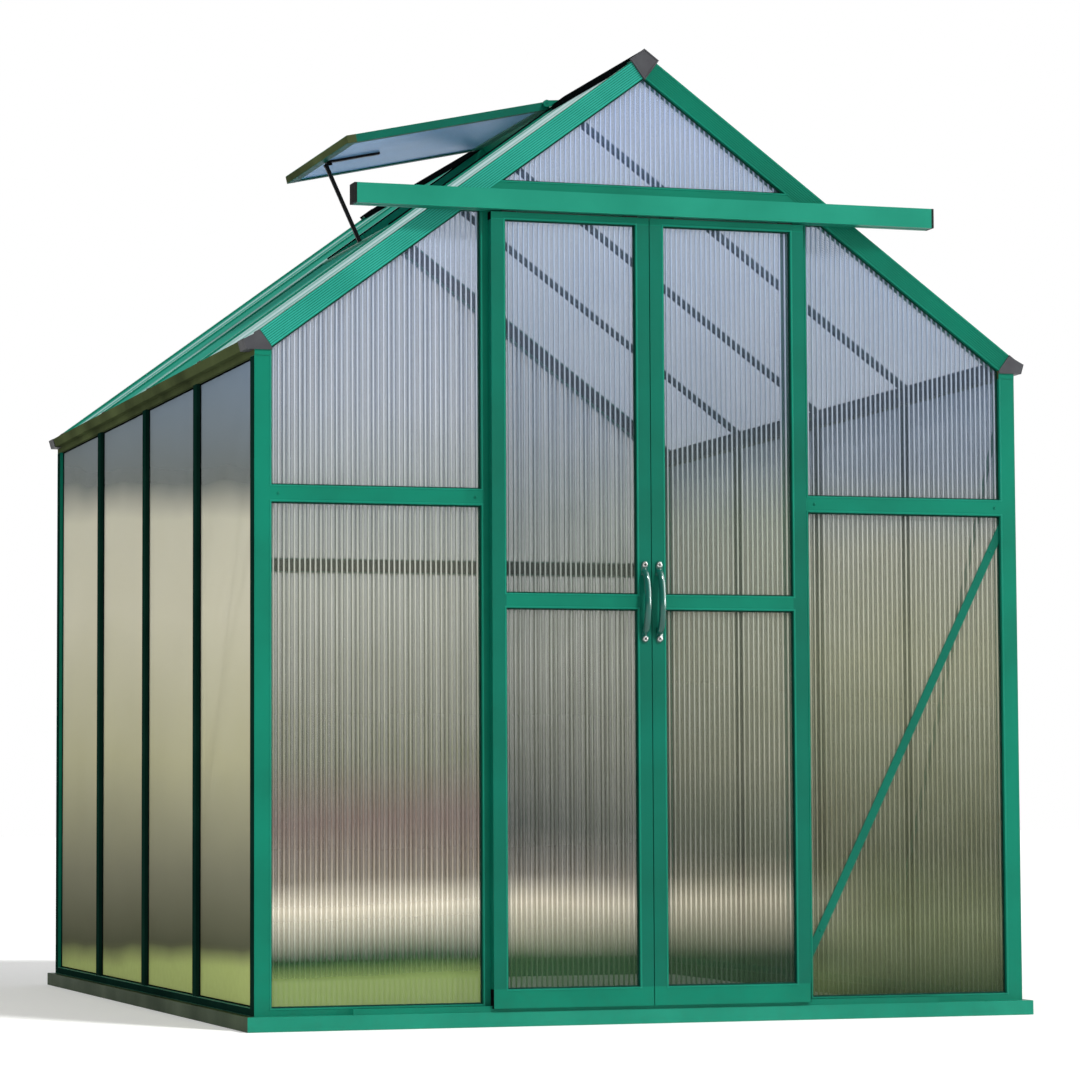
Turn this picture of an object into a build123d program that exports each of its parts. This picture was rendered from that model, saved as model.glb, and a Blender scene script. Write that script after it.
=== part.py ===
from build123d import *
from math import atan2, cos, degrees, hypot, radians, sin, sqrt, tan
import os

# House, outside the posts, in millimetres, with its eave measured down from the door track
house_width = 1900.0
house_length = 2490.0
eave_drop = 336.0
roof_pitch = 36.5
bay_count = 4

# Extruded bars of the frame
wall = 2.0
post_size = 40.0
bar_width = 40.0
bar_depth = 25.0
rafter_depth = 48.0
ridge_depth = 52.0
roof_bar_width = 22.0
roof_bar_low = 26.0

# Base sill, its corner keys and its ground anchor holes
sill_height = 34.0
sill_ledge = 20.0
glazing_rail_height = 18.0
key_length = 110.0
key_thickness = 6.0
key_clearance = 0.5
anchor_hole_radius = 4.5
anchor_spacing = 1700.0

# Twin-wall panes
pane_thickness = 6.0
pane_recess = 11.0
roof_pane_seat = 37.0
roof_pane_overhang = 26.0

# Eave gutter and the plastic end caps
gutter_drop = 20.0
trough_drop = 5.0
trough_width = 17.0
trough_flare = 7.0
trough_height = 22.0
cap_thickness = 4.0
cap_sleeve_length = 60.0
cap_margin = 4.0

# Gable bars
jamb_inside = 358.0
jamb_width = 50.0
header_lift = 3.0
header_height = 72.0
mid_rail_low = 1205.0
mid_rail_height = 39.0
rear_upright_inside = 363.0

# Flat diagonal braces
brace_width = 20.0
brace_thickness = 3.0
front_brace_low = 161.0
front_brace_drop = 39.0
side_brace_low = 300.0
side_brace_drop = 91.0

# Overhanging door track and the guide fin under the doors
track_half_length = 718.0
track_stop_thickness = 6.0
track_low = 1897.0
track_height = 47.0
track_depth = 45.0
track_slot_start = 18.0
track_slot_width = 8.0
guide_half_length = 723.0
guide_start = 14.5
guide_thickness = 3.0
guide_height = 14.0

# Sliding doors
door_width = 390.0
door_meeting_gap = 2.0
door_clearance = 4.0
door_thickness = 24.0
door_lift = 8.0
door_drop = 4.0
door_stile = 34.0
door_top_rail = 18.0
door_mid_rail = 35.0
door_mid_low = 966.0
door_bottom_rail = 44.0
door_pane_recess = 9.0

# Pull handles and their screws
handle_height = 984.0
handle_reach = 35.0
handle_radius = 8.0
handle_span = 142.0
handle_pad_width = 16.0
handle_pad_thickness = 4.0
handle_pad_margin = 9.0
handle_screw_gap = 1.5
screw_head_radius = 6.5
screw_head_height = 3.0
screw_radius = 2.4
screw_hole_radius = 2.5
screw_length = 12.0

# Door hangers and rollers
hanger_inset = 45.0
hanger_length = 36.0
hanger_thickness = 3.0
hanger_foot_width = 15.0
hanger_foot_thickness = 2.0
roller_radius = 13.0
roller_width = 8.0
roller_gap = 0.3
roller_hole_radius = 2.0
roller_hole_circle = 8.0
roller_hole_count = 5
axle_radius = 3.0
axle_shoulder_radius = 5.0
axle_clip_thickness = 1.7
axle_shoulder_length = 6.2
axle_clearance = 0.05

# Roof vent, measured down the slope and out from the rafters' inner face
vent_bay = 1
vent_lap = 10.0
vent_top = 2.0
vent_length = 540.0
vent_low = 52.0
vent_thickness = 20.0
vent_rail = 24.0
vent_pane_low = 55.5
vent_opening = 24.3
vent_sill_width = 24.0
vent_sill_lap = 10.0
hinge_along = 10.0
hinge_out = 66.0
hinge_pin_radius = 4.0
hinge_clearance = 0.06
hinge_gap = 4.0
lug_thickness = 8.0
lug_radius = 9.0
lug_foot = 26.0

# Vent stay and its bracket
stay_width = 10.0
stay_thickness = 6.0
stay_eye_radius = 5.2
stay_pin_radius = 3.0
stay_pin_clearance = 0.06
stay_pivot_drop = 8.0
stay_clearance = 1.0
stay_foot_lap = 2.0
stay_arm_length = 146.0
stay_arm_width = 16.0
stay_arm_thickness = 6.0
stay_ear_thickness = 4.0
stay_ear_length = 18.0
stay_ear_gap = 0.3

# Lines that several pieces share
half_width = house_width / 2
inner_half = half_width - post_size
slope = tan(radians(roof_pitch))
slope_cos = cos(radians(roof_pitch))
slope_sin = sin(radians(roof_pitch))
eave_height = track_low - eave_drop
apex_height = eave_height + inner_half * slope
rafter_run = inner_half / slope_cos
post_top = eave_height - gutter_drop
front_reach = door_clearance + door_thickness + handle_reach
front_y = -(house_length + sill_ledge - front_reach) / 2
rear_y = front_y + house_length
glazing_low = sill_height + glazing_rail_height
mid_rail_top = mid_rail_low + mid_rail_height
header_low = track_low + header_lift
header_top = header_low + header_height
front_brace_high = mid_rail_low - front_brace_drop
side_brace_high = post_top - side_brace_drop
jamb_outside = jamb_inside + jamb_width
rear_upright_outside = rear_upright_inside + bar_width
bay_pitch = (house_length - post_size) / bay_count
bar_lines = [front_y + post_size / 2 + bay_pitch * i for i in range(1, bay_count)]
bay_starts = [front_y + post_size] + [line + bar_width / 2 for line in bar_lines]
bay_ends = [line - bar_width / 2 for line in bar_lines] + [rear_y - post_size]
bays = list(zip(bay_starts, bay_ends))
roof_starts = [front_y + post_size] + [line + roof_bar_width / 2 for line in bar_lines]
roof_ends = [line - roof_bar_width / 2 for line in bar_lines] + [rear_y - post_size]
roof_bays = list(zip(roof_starts, roof_ends))
front_post_y = (front_y, front_y + post_size)
rear_post_y = (rear_y - post_size, rear_y)
front_bar_y = (front_y, front_y + bar_depth)
rear_bar_y = (rear_y - bar_depth, rear_y)
front_pane_y = (front_y + pane_recess, front_y + pane_recess + pane_thickness)
rear_pane_y = (rear_y - pane_recess - pane_thickness, rear_y - pane_recess)
door_back = front_y - door_clearance
door_front = door_back - door_thickness
door_low = sill_height + door_lift
door_high = track_low - door_drop
roller_height = track_low + wall + roller_gap + roller_radius
screw_span = handle_span + 2 * (handle_radius + handle_screw_gap + screw_head_radius)


# Plain shapes

def block(x, y, z):
    """Box between the given limits."""
    size = (x[1] - x[0], y[1] - y[0], z[1] - z[0])
    middle = ((x[0] + x[1]) / 2, (y[0] + y[1]) / 2, (z[0] + z[1]) / 2)
    return Pos(*middle) * Box(*size)


def tube(x, y, z, run):
    """Hollow bar between the given limits, open at both ends of its run."""
    inner = [
        limits if axis == run else (limits[0] + wall, limits[1] - wall)
        for axis, limits in zip("xyz", (x, y, z))
    ]
    return block(x, y, z) - block(*inner)


def rod(x, y, z, radius):
    """Round rod along Y between two limits."""
    return Pos(x, (y[0] + y[1]) / 2, z) * Rot(90, 0, 0) * Cylinder(radius, y[1] - y[0])


def outline(*points):
    """Flat face inside straight edges."""
    return make_face(Polyline(*points, close=True))


def hollow(face):
    """Closed hollow section of even wall."""
    return face - offset(face, amount=-wall, kind=Kind.INTERSECTION)


def prism_x(section, x):
    """Section in Y and Z, drawn out along X."""
    plane = Plane(origin=(x[0], 0, 0), x_dir=(0, 1, 0), z_dir=(1, 0, 0))
    return extrude(plane * section, amount=x[1] - x[0])


def prism_y(section, y):
    """Section in X and Z, drawn out along Y."""
    plane = Plane(origin=(0, y[1], 0), x_dir=(1, 0, 0), z_dir=(0, -1, 0))
    return extrude(plane * section, amount=y[1] - y[0])


def prism_z(section, z):
    """Section in X and Y, drawn out along Z."""
    return extrude(Plane.XY.offset(z[0]) * section, amount=z[1] - z[0])


def mirrored(shape):
    """The same shape on the other side of the house."""
    return mirror(shape, about=Plane.YZ)


def rafter_line(x):
    """Height of the rafters' inner face above a distance from the middle."""
    return apex_height - slope * x


def slope_point(along, out):
    """Place in X and Z of a point on the right slope."""
    x = along * slope_cos + out * slope_sin
    z = apex_height - along * slope_sin + out * slope_cos
    return (x, z)


def on_slope(shape):
    """Lay a shape on the right slope, its X down the slope and its Z out from it."""
    return Pos(0, 0, apex_height) * Rot(0, roof_pitch, 0) * shape


# Base sill

def sill_corners(inset):
    """Corners of the base in plan, pulled in by an inset."""
    x = half_width + sill_ledge - inset
    low = front_y - sill_ledge + inset
    high = rear_y + sill_ledge - inset
    return [(-x, low), (x, low), (x, high), (-x, high)]


def sill_strip(side, start, end):
    """Mitred strip of one side of the base in plan."""
    outer = sill_corners(start)
    inner = sill_corners(end)
    after = (side + 1) % len(outer)
    return outline(outer[side], outer[after], inner[after], inner[side])


def sill_rail(side):
    """Hollow mitred rail on one side of the base."""
    width = sill_ledge + post_size
    rail = prism_z(sill_strip(side, 0, width), (0, sill_height))
    hole = prism_z(sill_strip(side, wall, width - wall), (wall, sill_height - wall))
    return rail - hole


def anchored(rail, y):
    """Sill rail with a pair of anchor holes through its outer ledge."""
    for x in (-anchor_spacing / 2, anchor_spacing / 2):
        rail = rail - Pos(x, y, sill_height / 2) * Cylinder(anchor_hole_radius, sill_height)
    return rail


def sill_key(corner):
    """Flat angle inside the hollow rails at one corner."""
    x, y = sill_corners(0)[corner]
    to_x = -1 if x > 0 else 1
    to_y = 1 if y < rear_y else -1
    low = wall + key_clearance
    high = sill_ledge + post_size - wall - key_clearance
    plan = [
        (low, low), (key_length, low), (key_length, high),
        (high, high), (high, key_length), (low, key_length),
    ]
    face = outline(*[(x + to_x * u, y + to_y * v) for u, v in plan])
    return prism_z(face, (wall, wall + key_thickness))


def base():
    """Sill, its keys and the glazing rails on it."""
    ledge_middle = sill_ledge / 2
    rail_z = (sill_height, glazing_low)
    side_rail = tube((half_width - bar_depth, half_width), (front_post_y[1], rear_post_y[0]), rail_z, "y")
    front_rail = tube((jamb_outside, inner_half), front_bar_y, rail_z, "x")
    rear_rail = tube((-inner_half, inner_half), rear_bar_y, rail_z, "x")
    return {
        "sill_front": [anchored(sill_rail(0), front_y - ledge_middle)],
        "sill_right": [sill_rail(1)],
        "sill_rear": [anchored(sill_rail(2), rear_y + ledge_middle)],
        "sill_left": [sill_rail(3)],
        "sill_corner_keys": [sill_key(corner) for corner in range(len(sill_corners(0)))],
        "base_glazing_rails": [side_rail, mirrored(side_rail), front_rail, mirrored(front_rail), rear_rail],
    }


# Long walls

def long_walls():
    """Corner posts, mullions and panes of the long walls."""
    post_x = (inner_half, half_width)
    post_z = (sill_height, post_top)
    front_post = tube(post_x, front_post_y, post_z, "z")
    rear_post = tube(post_x, rear_post_y, post_z, "z")
    mullion_x = (half_width - bar_depth, half_width)
    mullion_z = (glazing_low, post_top)
    mullions = [tube(mullion_x, (y - bar_width / 2, y + bar_width / 2), mullion_z, "z") for y in bar_lines]
    pane_x = (half_width - pane_recess - pane_thickness, half_width - pane_recess)
    panes = [block(pane_x, bay, (glazing_low, post_top)) for bay in bays]
    return {
        "post_front_right": [front_post],
        "post_front_left": [mirrored(front_post)],
        "post_rear_right": [rear_post],
        "post_rear_left": [mirrored(rear_post)],
        "right_mullions": mullions,
        "left_mullions": [mirrored(mullion) for mullion in mullions],
        "right_wall_panes": panes,
        "left_wall_panes": [mirrored(pane) for pane in panes],
    }


# Eave gutters

def trough_points(margin):
    """Outer side of the trough from its foot to its lip, pushed out by a margin."""
    floor = eave_height - trough_drop - margin
    foot = half_width + trough_width + margin
    lip = foot + trough_flare
    return [(half_width, floor), (foot, floor), (lip, floor + margin + trough_height)]


def gutter():
    """Hollow eave beam with its rain trough."""
    seat = slope_point(rafter_run, roof_pane_seat)
    beam_top = seat[1] - slope * (half_width - seat[0])
    beam = outline(
        (inner_half, post_top), (half_width, post_top), (half_width, beam_top),
        seat, (inner_half, eave_height),
    )
    outer = trough_points(0)
    floor = outer[0][1] + wall
    inner = [(half_width, floor), (outer[1][0] - wall, floor), (outer[2][0] - wall, outer[2][1])]
    return prism_y(hollow(beam) + outline(*outer, *reversed(inner)), (front_y, rear_y))


def gutter_cap():
    """Plastic cap over the front end of the gutter, with a sleeve round the trough."""
    sleeve = trough_points(wall)
    trough = trough_points(0)
    crown = slope_point(rafter_run, rafter_depth)
    shoulder = (half_width + wall, crown[1] - slope * (half_width + wall - crown[0]))
    plate = outline(
        (inner_half, sleeve[0][1]), sleeve[1], sleeve[2], trough[2],
        shoulder, crown, (inner_half, eave_height),
    )
    skin = outline(*sleeve, *reversed(trough))
    front = prism_y(plate, (front_y - cap_thickness, front_y))
    return front + prism_y(skin, (front_y, front_y + cap_sleeve_length))


def to_rear(shape):
    """The same shape at the other end of the house."""
    return mirror(shape, about=Plane.XZ.offset(-(front_y + rear_y) / 2))


def gutters():
    """Both eave gutters and their caps."""
    right = gutter()
    cap = gutter_cap()
    front_caps = [cap, mirrored(cap)]
    return {
        "right_gutter": [right],
        "left_gutter": [mirrored(right)],
        "gutter_caps": front_caps + [to_rear(one) for one in front_caps],
    }


# Roof

def ridge_section():
    """Kite-shaped section of the ridge beam."""
    right = slope_point(0, ridge_depth)
    return outline((0, apex_height), right, (0, apex_height + ridge_depth / slope_cos), (-right[0], right[1]))


def slope_bar(y, low):
    """Hollow bar down the right slope, up to the rafters' outer face."""
    return on_slope(tube((0, rafter_run), y, (low, rafter_depth), "x"))


def roof_pane(bay, start):
    """Pane of the right slope, from a distance down the slope to over the gutter."""
    out = (roof_pane_seat, roof_pane_seat + pane_thickness)
    return on_slope(block((start, rafter_run + roof_pane_overhang), bay, out))


def roof():
    """Ridge, rafters, glazing bars and roof panes."""
    section = ridge_section()
    cap_face = offset(section, amount=cap_margin, kind=Kind.INTERSECTION)
    ridge_cap = prism_y(cap_face, (front_y - cap_thickness, front_y))
    front_rafter = slope_bar(front_post_y, 0)
    rear_rafter = slope_bar(rear_post_y, 0)
    half = roof_bar_width / 2
    bars = [slope_bar((y - half, y + half), roof_bar_low) for y in bar_lines]
    pane_starts = [vent_sill_end if i == vent_bay else 0 for i in range(bay_count)]
    left_panes = [mirrored(roof_pane(bay, start)) for bay, start in zip(roof_bays, pane_starts)]
    return {
        "ridge_beam": [prism_y(hollow(section), (front_y, rear_y))],
        "ridge_caps": [ridge_cap, to_rear(ridge_cap)],
        "rafter_front_right": [front_rafter],
        "rafter_front_left": [mirrored(front_rafter)],
        "rafter_rear_right": [rear_rafter],
        "rafter_rear_left": [mirrored(rear_rafter)],
        "right_roof_bars": bars,
        "left_roof_bars": [mirrored(bar) for bar in bars],
        "right_roof_panes": [roof_pane(bay, 0) for bay in roof_bays],
        "left_roof_panes": left_panes,
    }


# Gables

def room():
    """Space inside the posts and under the rafters, from end to end of the base."""
    section = outline(
        (-inner_half, 0), (inner_half, 0), (inner_half, eave_height),
        (0, apex_height), (-inner_half, eave_height),
    )
    return prism_y(section, (front_y - sill_ledge, rear_y + sill_ledge))


def gable_pane(y, *points):
    """Pane with straight edges in one of the gables."""
    return prism_y(outline(*points), y)


def front_gable():
    """Door jambs, header and panes around the doors."""
    jamb = tube((jamb_inside, jamb_outside), front_post_y, (sill_height, header_low), "z") & room()
    header_foot = (apex_height - header_low) / slope
    header_head = (apex_height - header_top) / slope
    face = outline(
        (-header_foot, header_low), (header_foot, header_low),
        (header_head, header_top), (-header_head, header_top),
    )
    header_hole = block(
        (-header_foot, header_foot),
        (front_y + wall, front_post_y[1] - wall),
        (header_low + wall, header_top - wall),
    )
    lower = block((jamb_outside, inner_half), front_pane_y, (glazing_low, mid_rail_low))
    upper = block((jamb_outside, inner_half), front_pane_y, (mid_rail_top, header_low)) & room()
    peak = gable_pane(front_pane_y, (-header_head, header_top), (header_head, header_top), (0, apex_height))
    return {
        "right_jamb": [jamb],
        "left_jamb": [mirrored(jamb)],
        "door_header": [prism_y(face, front_post_y) - header_hole],
        "front_panes": [lower, mirrored(lower), upper, mirrored(upper), peak],
    }


def rear_gable():
    """Uprights and panes of the rear gable."""
    inside = rear_upright_inside
    outside = rear_upright_outside
    face = outline(
        (inside, glazing_low), (outside, glazing_low),
        (outside, rafter_line(outside)), (inside, rafter_line(inside)),
    )
    hole = block(
        (inside + wall, outside - wall), (rear_bar_y[0] + wall, rear_y - wall), (glazing_low, apex_height)
    )
    upright = prism_y(face, rear_bar_y) - hole
    lower = block((outside, inner_half), rear_pane_y, (glazing_low, mid_rail_low))
    lower_middle = block((-inside, inside), rear_pane_y, (glazing_low, mid_rail_low))
    upper = gable_pane(
        rear_pane_y,
        (outside, mid_rail_top), (inner_half, mid_rail_top),
        (inner_half, eave_height), (outside, rafter_line(outside)),
    )
    upper_middle = gable_pane(
        rear_pane_y,
        (-inside, mid_rail_top), (inside, mid_rail_top), (inside, rafter_line(inside)),
        (0, apex_height), (-inside, rafter_line(inside)),
    )
    return {
        "rear_uprights": [upright, mirrored(upright)],
        "rear_panes": [lower, mirrored(lower), lower_middle, upper, mirrored(upper), upper_middle],
    }


def mid_rails():
    """Cross rails at half height in both gables."""
    z = (mid_rail_low, mid_rail_top)
    front = tube((jamb_outside, inner_half), front_bar_y, z, "x")
    rear = tube((rear_upright_outside, inner_half), rear_bar_y, z, "x")
    middle = tube((-rear_upright_inside, rear_upright_inside), rear_bar_y, z, "x")
    return {"mid_rails": [front, mirrored(front), rear, mirrored(rear), middle]}


def brace_section(start, end):
    """Flat bar between two uprights, cut along them."""
    steep = (end[1] - start[1]) / (end[0] - start[0])
    half = brace_width / 2 * sqrt(1 + steep ** 2)
    return outline(
        (start[0], start[1] - half), (end[0], end[1] - half),
        (end[0], end[1] + half), (start[0], start[1] + half),
    )


def braces():
    """Diagonal braces beside the doors and inside the first bay of each long wall."""
    front_face = brace_section((jamb_outside, front_brace_low), (inner_half, front_brace_high))
    front = prism_y(front_face, (front_pane_y[0] - brace_thickness, front_pane_y[0]))
    side_face = brace_section((front_post_y[1], side_brace_high), (bay_starts[1], side_brace_low))
    side_x = half_width - bar_depth
    side = prism_x(side_face, (side_x - brace_thickness, side_x))
    return {"diagonal_braces": [front, side, mirrored(side)]}


# Door track

def door_track():
    """Overhanging track with a slot below, its end stops and the guide fin on the sill."""
    x = (-track_half_length, track_half_length)
    y = (front_y - track_depth, front_y)
    z = (track_low, track_low + track_height)
    slot_end = track_slot_start + track_slot_width
    slot = block(x, (front_y - slot_end, front_y - track_slot_start), (track_low, track_low + wall))
    stop = block((track_half_length, track_half_length + track_stop_thickness), y, z)
    fin = block(
        (-guide_half_length, guide_half_length),
        (front_y - guide_start - guide_thickness, front_y - guide_start),
        (sill_height, sill_height + guide_height),
    )
    return {
        "door_track": [tube(x, y, z, "x") - slot],
        "track_stops": [stop, mirrored(stop)],
        "bottom_guide": [fin],
    }


# Sliding doors

door_start = door_meeting_gap / 2
door_end = door_start + door_width
handle_x = door_start + door_stile / 2
handle_screws = [handle_height - screw_span / 2, handle_height + screw_span / 2]


def door_frame():
    """Stiles and rails of the right door."""
    x = (door_start, door_end)
    y = (door_front, door_back)
    top_low = door_high - door_top_rail
    bottom_high = door_low + door_bottom_rail
    top = tube(x, y, (top_low, door_high), "x")
    middle_x = (door_start + door_stile, door_end - door_stile)
    middle = tube(middle_x, y, (door_mid_low, door_mid_low + door_mid_rail), "x")
    channel = block(x, (door_front + wall, door_back - wall), (door_low, bottom_high - wall))
    bottom = block(x, y, (door_low, bottom_high)) - channel
    meeting = tube((door_start, door_start + door_stile), y, (bottom_high, top_low), "z")
    for z in handle_screws:
        meeting = meeting - rod(handle_x, (door_front, door_front + wall), z, screw_hole_radius)
    outer = tube((door_end - door_stile, door_end), y, (bottom_high, top_low), "z")
    return [meeting, outer], [top, middle, bottom]


def door_panes():
    """Lower and upper pane of the right door."""
    x = (door_start + door_stile, door_end - door_stile)
    y = (door_front + door_pane_recess, door_front + door_pane_recess + pane_thickness)
    lower = block(x, y, (door_low + door_bottom_rail, door_mid_low))
    upper = block(x, y, (door_mid_low + door_mid_rail, door_high - door_top_rail))
    return [lower, upper]


def door_handle():
    """Bowed pull with a screw pad at each end."""
    side = Plane((handle_x, door_front, handle_height), x_dir=(0, 0, 1), z_dir=(1, 0, 0))
    bow = side * EllipticalCenterArc((0, 0), handle_span / 2, handle_reach - handle_radius, arc_size=180)
    start = Plane(origin=bow @ 0, z_dir=bow % 0)
    pull = sweep(start * Circle(handle_radius), path=bow)
    pad_x = (handle_x - handle_pad_width / 2, handle_x + handle_pad_width / 2)
    pad_y = (door_front - handle_pad_thickness, door_front)
    inside = handle_span / 2 - handle_pad_margin
    outside = screw_span / 2 + handle_pad_margin
    pull = pull + block(pad_x, pad_y, (handle_height + inside, handle_height + outside))
    pull = pull + block(pad_x, pad_y, (handle_height - outside, handle_height - inside))
    for z in handle_screws:
        pull = pull - rod(handle_x, pad_y, z, screw_hole_radius)
    return pull


def handle_screw(z):
    """Pan-head screw through the handle's pad into the stile."""
    seat = door_front - handle_pad_thickness
    head = rod(handle_x, (seat - screw_head_height, seat), z, screw_head_radius)
    return head + rod(handle_x, (seat, seat + screw_length), z, screw_radius)


def hanger(x):
    """Angle on the door's top rail with the axle of one roller."""
    plate_y = front_y - track_slot_start - track_slot_width / 2
    back = plate_y + hanger_thickness / 2
    front = plate_y - hanger_thickness / 2
    span = (x - hanger_length / 2, x + hanger_length / 2)
    foot_high = door_high + hanger_foot_thickness
    foot = block(span, (front, front + hanger_foot_width), (door_high, foot_high))
    plate = block(span, (front, back), (foot_high, roller_height + roller_radius - hanger_thickness))
    shoulder_end = front - axle_shoulder_length
    clip_start = shoulder_end - roller_width - 2 * roller_gap
    shoulder = rod(x, (shoulder_end, front), roller_height, axle_shoulder_radius)
    axle = rod(x, (clip_start, shoulder_end), roller_height, axle_radius)
    clip = rod(x, (clip_start - axle_clip_thickness, clip_start), roller_height, axle_shoulder_radius)
    return foot + plate + shoulder + axle + clip


def roller(x):
    """Plastic wheel that runs on the track's front lip."""
    plate_front = front_y - track_slot_start - track_slot_width / 2 - hanger_thickness / 2
    back = plate_front - axle_shoulder_length - roller_gap
    y = (back - roller_width, back)
    wheel = rod(x, y, roller_height, roller_radius) - rod(x, y, roller_height, axle_radius + axle_clearance)
    for i in range(roller_hole_count):
        turn = radians(360 / roller_hole_count * i)
        hole_x = x + roller_hole_circle * cos(turn)
        wheel = wheel - rod(hole_x, y, roller_height + roller_hole_circle * sin(turn), roller_hole_radius)
    return wheel


def doors():
    """Both sliding doors with handles, hangers and rollers."""
    stiles, rails = door_frame()
    inner_x = door_start + hanger_inset
    outer_x = door_end - hanger_inset
    right = {
        "door_stiles": stiles,
        "door_rails": rails,
        "door_panes": door_panes(),
        "door_handle": [door_handle()],
        "handle_screws": [handle_screw(z) for z in handle_screws],
        "door_hangers": [hanger(inner_x), hanger(outer_x)],
        "roller_inner": [roller(inner_x)],
        "roller_outer": [roller(outer_x)],
    }
    nodes = {"right_" + name: shapes for name, shapes in right.items()}
    nodes.update({"left_" + name: [mirrored(shape) for shape in shapes] for name, shapes in right.items()})
    return nodes


# Roof vent

vent_y = (bar_lines[vent_bay - 1] - vent_lap, bar_lines[vent_bay] + vent_lap)
vent_end = vent_top + vent_length
vent_out = (vent_low, vent_low + vent_thickness)
vent_middle = (vent_y[0] + vent_y[1]) / 2
vent_sill_start = vent_end - vent_sill_lap
vent_sill_end = vent_sill_start + vent_sill_width


def turned(shape, along, out, angle):
    """Turn a shape on the slope about a line across the slope."""
    return Pos(along, 0, out) * Rot(0, angle, 0) * Pos(-along, 0, -out) * shape


def on_vent(shape):
    """Put a shape drawn on the shut vent where the propped-open vent holds it."""
    return mirrored(on_slope(turned(shape, hinge_along, hinge_out, -vent_opening)))


def vent_frame():
    """Four rails of the vent, the top one with a hinge pin at each end."""
    rail_start = vent_top + vent_rail
    rail_end = vent_end - vent_rail
    top = block((vent_top, rail_start), vent_y, vent_out)
    reach = hinge_gap + lug_thickness
    pin_ends = ((vent_y[0] - reach, vent_y[0]), (vent_y[1], vent_y[1] + reach))
    for y in pin_ends:
        top = top + rod(hinge_along, y, hinge_out, hinge_pin_radius)
    low = tube((rail_end, vent_end), vent_y, vent_out, "y")
    front = tube((rail_start, rail_end), (vent_y[0], vent_y[0] + vent_rail), vent_out, "x")
    rear = tube((rail_start, rail_end), (vent_y[1] - vent_rail, vent_y[1]), vent_out, "x")
    return [on_vent(rail) for rail in (top, low, front, rear)]


def hinge_lug(y):
    """Lug on the ridge that holds one hinge pin."""
    half = lug_thickness / 2
    foot = ridge_depth
    face = outline(
        (-lug_foot, foot), (0, foot),
        (hinge_along, hinge_out - lug_radius), (hinge_along, hinge_out + lug_radius),
    )
    lug = prism_y(face, (y - half, y + half))
    lug = lug + rod(hinge_along, (y - half, y + half), hinge_out, lug_radius)
    lug = lug - rod(hinge_along, (y - half, y + half), hinge_out, hinge_pin_radius + hinge_clearance)
    return mirrored(on_slope(lug))


stay_along = vent_end - vent_rail
stay_out = vent_low - stay_pivot_drop
stay_y = (vent_middle - stay_thickness / 2, vent_middle + stay_thickness / 2)


def stay_rest():
    """Length of the stay, and its swing from lying flat to standing beside the vent sill."""
    turn = radians(vent_opening)
    along = stay_along - hinge_along
    out = stay_out - hinge_out
    pivot_along = hinge_along + along * cos(turn) - out * sin(turn)
    pivot_out = hinge_out + along * sin(turn) + out * cos(turn)
    to_along = vent_sill_start - stay_clearance - stay_width / 2 - pivot_along
    to_out = rafter_depth - stay_foot_lap - pivot_out
    swing = degrees(atan2(-to_out, -to_along)) - vent_opening
    return hypot(to_along, to_out), swing


def vent_stay():
    """Flat strut with an eye, folded down from the vent."""
    length, swing = stay_rest()
    half = stay_width / 2
    bar = block((stay_along - length, stay_along), stay_y, (stay_out - half, stay_out + half))
    bar = bar + rod(stay_along, stay_y, stay_out, stay_eye_radius)
    bar = bar - rod(stay_along, stay_y, stay_out, stay_pin_radius + stay_pin_clearance)
    return on_vent(turned(bar, stay_along, stay_out, -swing))


def stay_bracket():
    """Arm under the vent's pane with an ear and the pin of the stay."""
    half = stay_arm_width / 2
    arm = block(
        (stay_along - stay_arm_length, stay_along),
        (vent_middle - half, vent_middle + half),
        (vent_pane_low - stay_arm_thickness, vent_pane_low),
    )
    ear_y = (stay_y[1] + stay_ear_gap, stay_y[1] + stay_ear_gap + stay_ear_thickness)
    ear_x = (stay_along - stay_ear_length, stay_along)
    ear = block(ear_x, ear_y, (stay_out, vent_pane_low - stay_arm_thickness))
    ear = ear + rod(stay_along, ear_y, stay_out, stay_eye_radius)
    pin = rod(stay_along, (stay_y[0] - stay_ear_gap, ear_y[0]), stay_out, stay_pin_radius)
    return on_vent(arm + ear + pin)


def roof_vent():
    """Vent, its stay, the sill under its lower edge and its hinge lugs."""
    sill_y = roof_bays[vent_bay]
    sill = tube((vent_sill_start, vent_sill_end), sill_y, (roof_bar_low, rafter_depth), "y")
    lug_offset = hinge_gap + lug_thickness / 2
    inner_y = (vent_y[0] + vent_rail, vent_y[1] - vent_rail)
    pane = block((vent_top + vent_rail, stay_along), inner_y, (vent_pane_low, vent_pane_low + pane_thickness))
    return {
        "vent_sill": [mirrored(on_slope(sill))],
        "vent_hinge_brackets": [hinge_lug(vent_y[0] - lug_offset), hinge_lug(vent_y[1] + lug_offset)],
        "vent_frame": vent_frame(),
        "vent_pane": [on_vent(pane)],
        "vent_stay_bracket": [stay_bracket()],
        "vent_stay": [vent_stay()],
    }


# One file for each piece

def save(name, shapes):
    """Write the solids of one piece."""
    solids = [solid for shape in shapes for solid in shape.solids()]
    export_step(solids[0] if len(solids) == 1 else Compound(solids), f"parts/{name}.step")


os.makedirs("parts", exist_ok=True)
assemblies = (
    base, long_walls, gutters, roof, front_gable, rear_gable, mid_rails, braces, door_track, doors, roof_vent
)
for assembly in assemblies:
    for piece, piece_shapes in assembly().items():
        save(piece, piece_shapes)
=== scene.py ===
"""Dresses the small aluminium greenhouse: glazing, trim, sliding doors, roof vent and studio."""

import logging
from dataclasses import dataclass, field
from enum import Enum
from math import cos, hypot, pi, radians, sin, tan
from typing import Iterable, Optional, Sequence, Union

import bpy
from mathutils import Matrix, Vector

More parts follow.
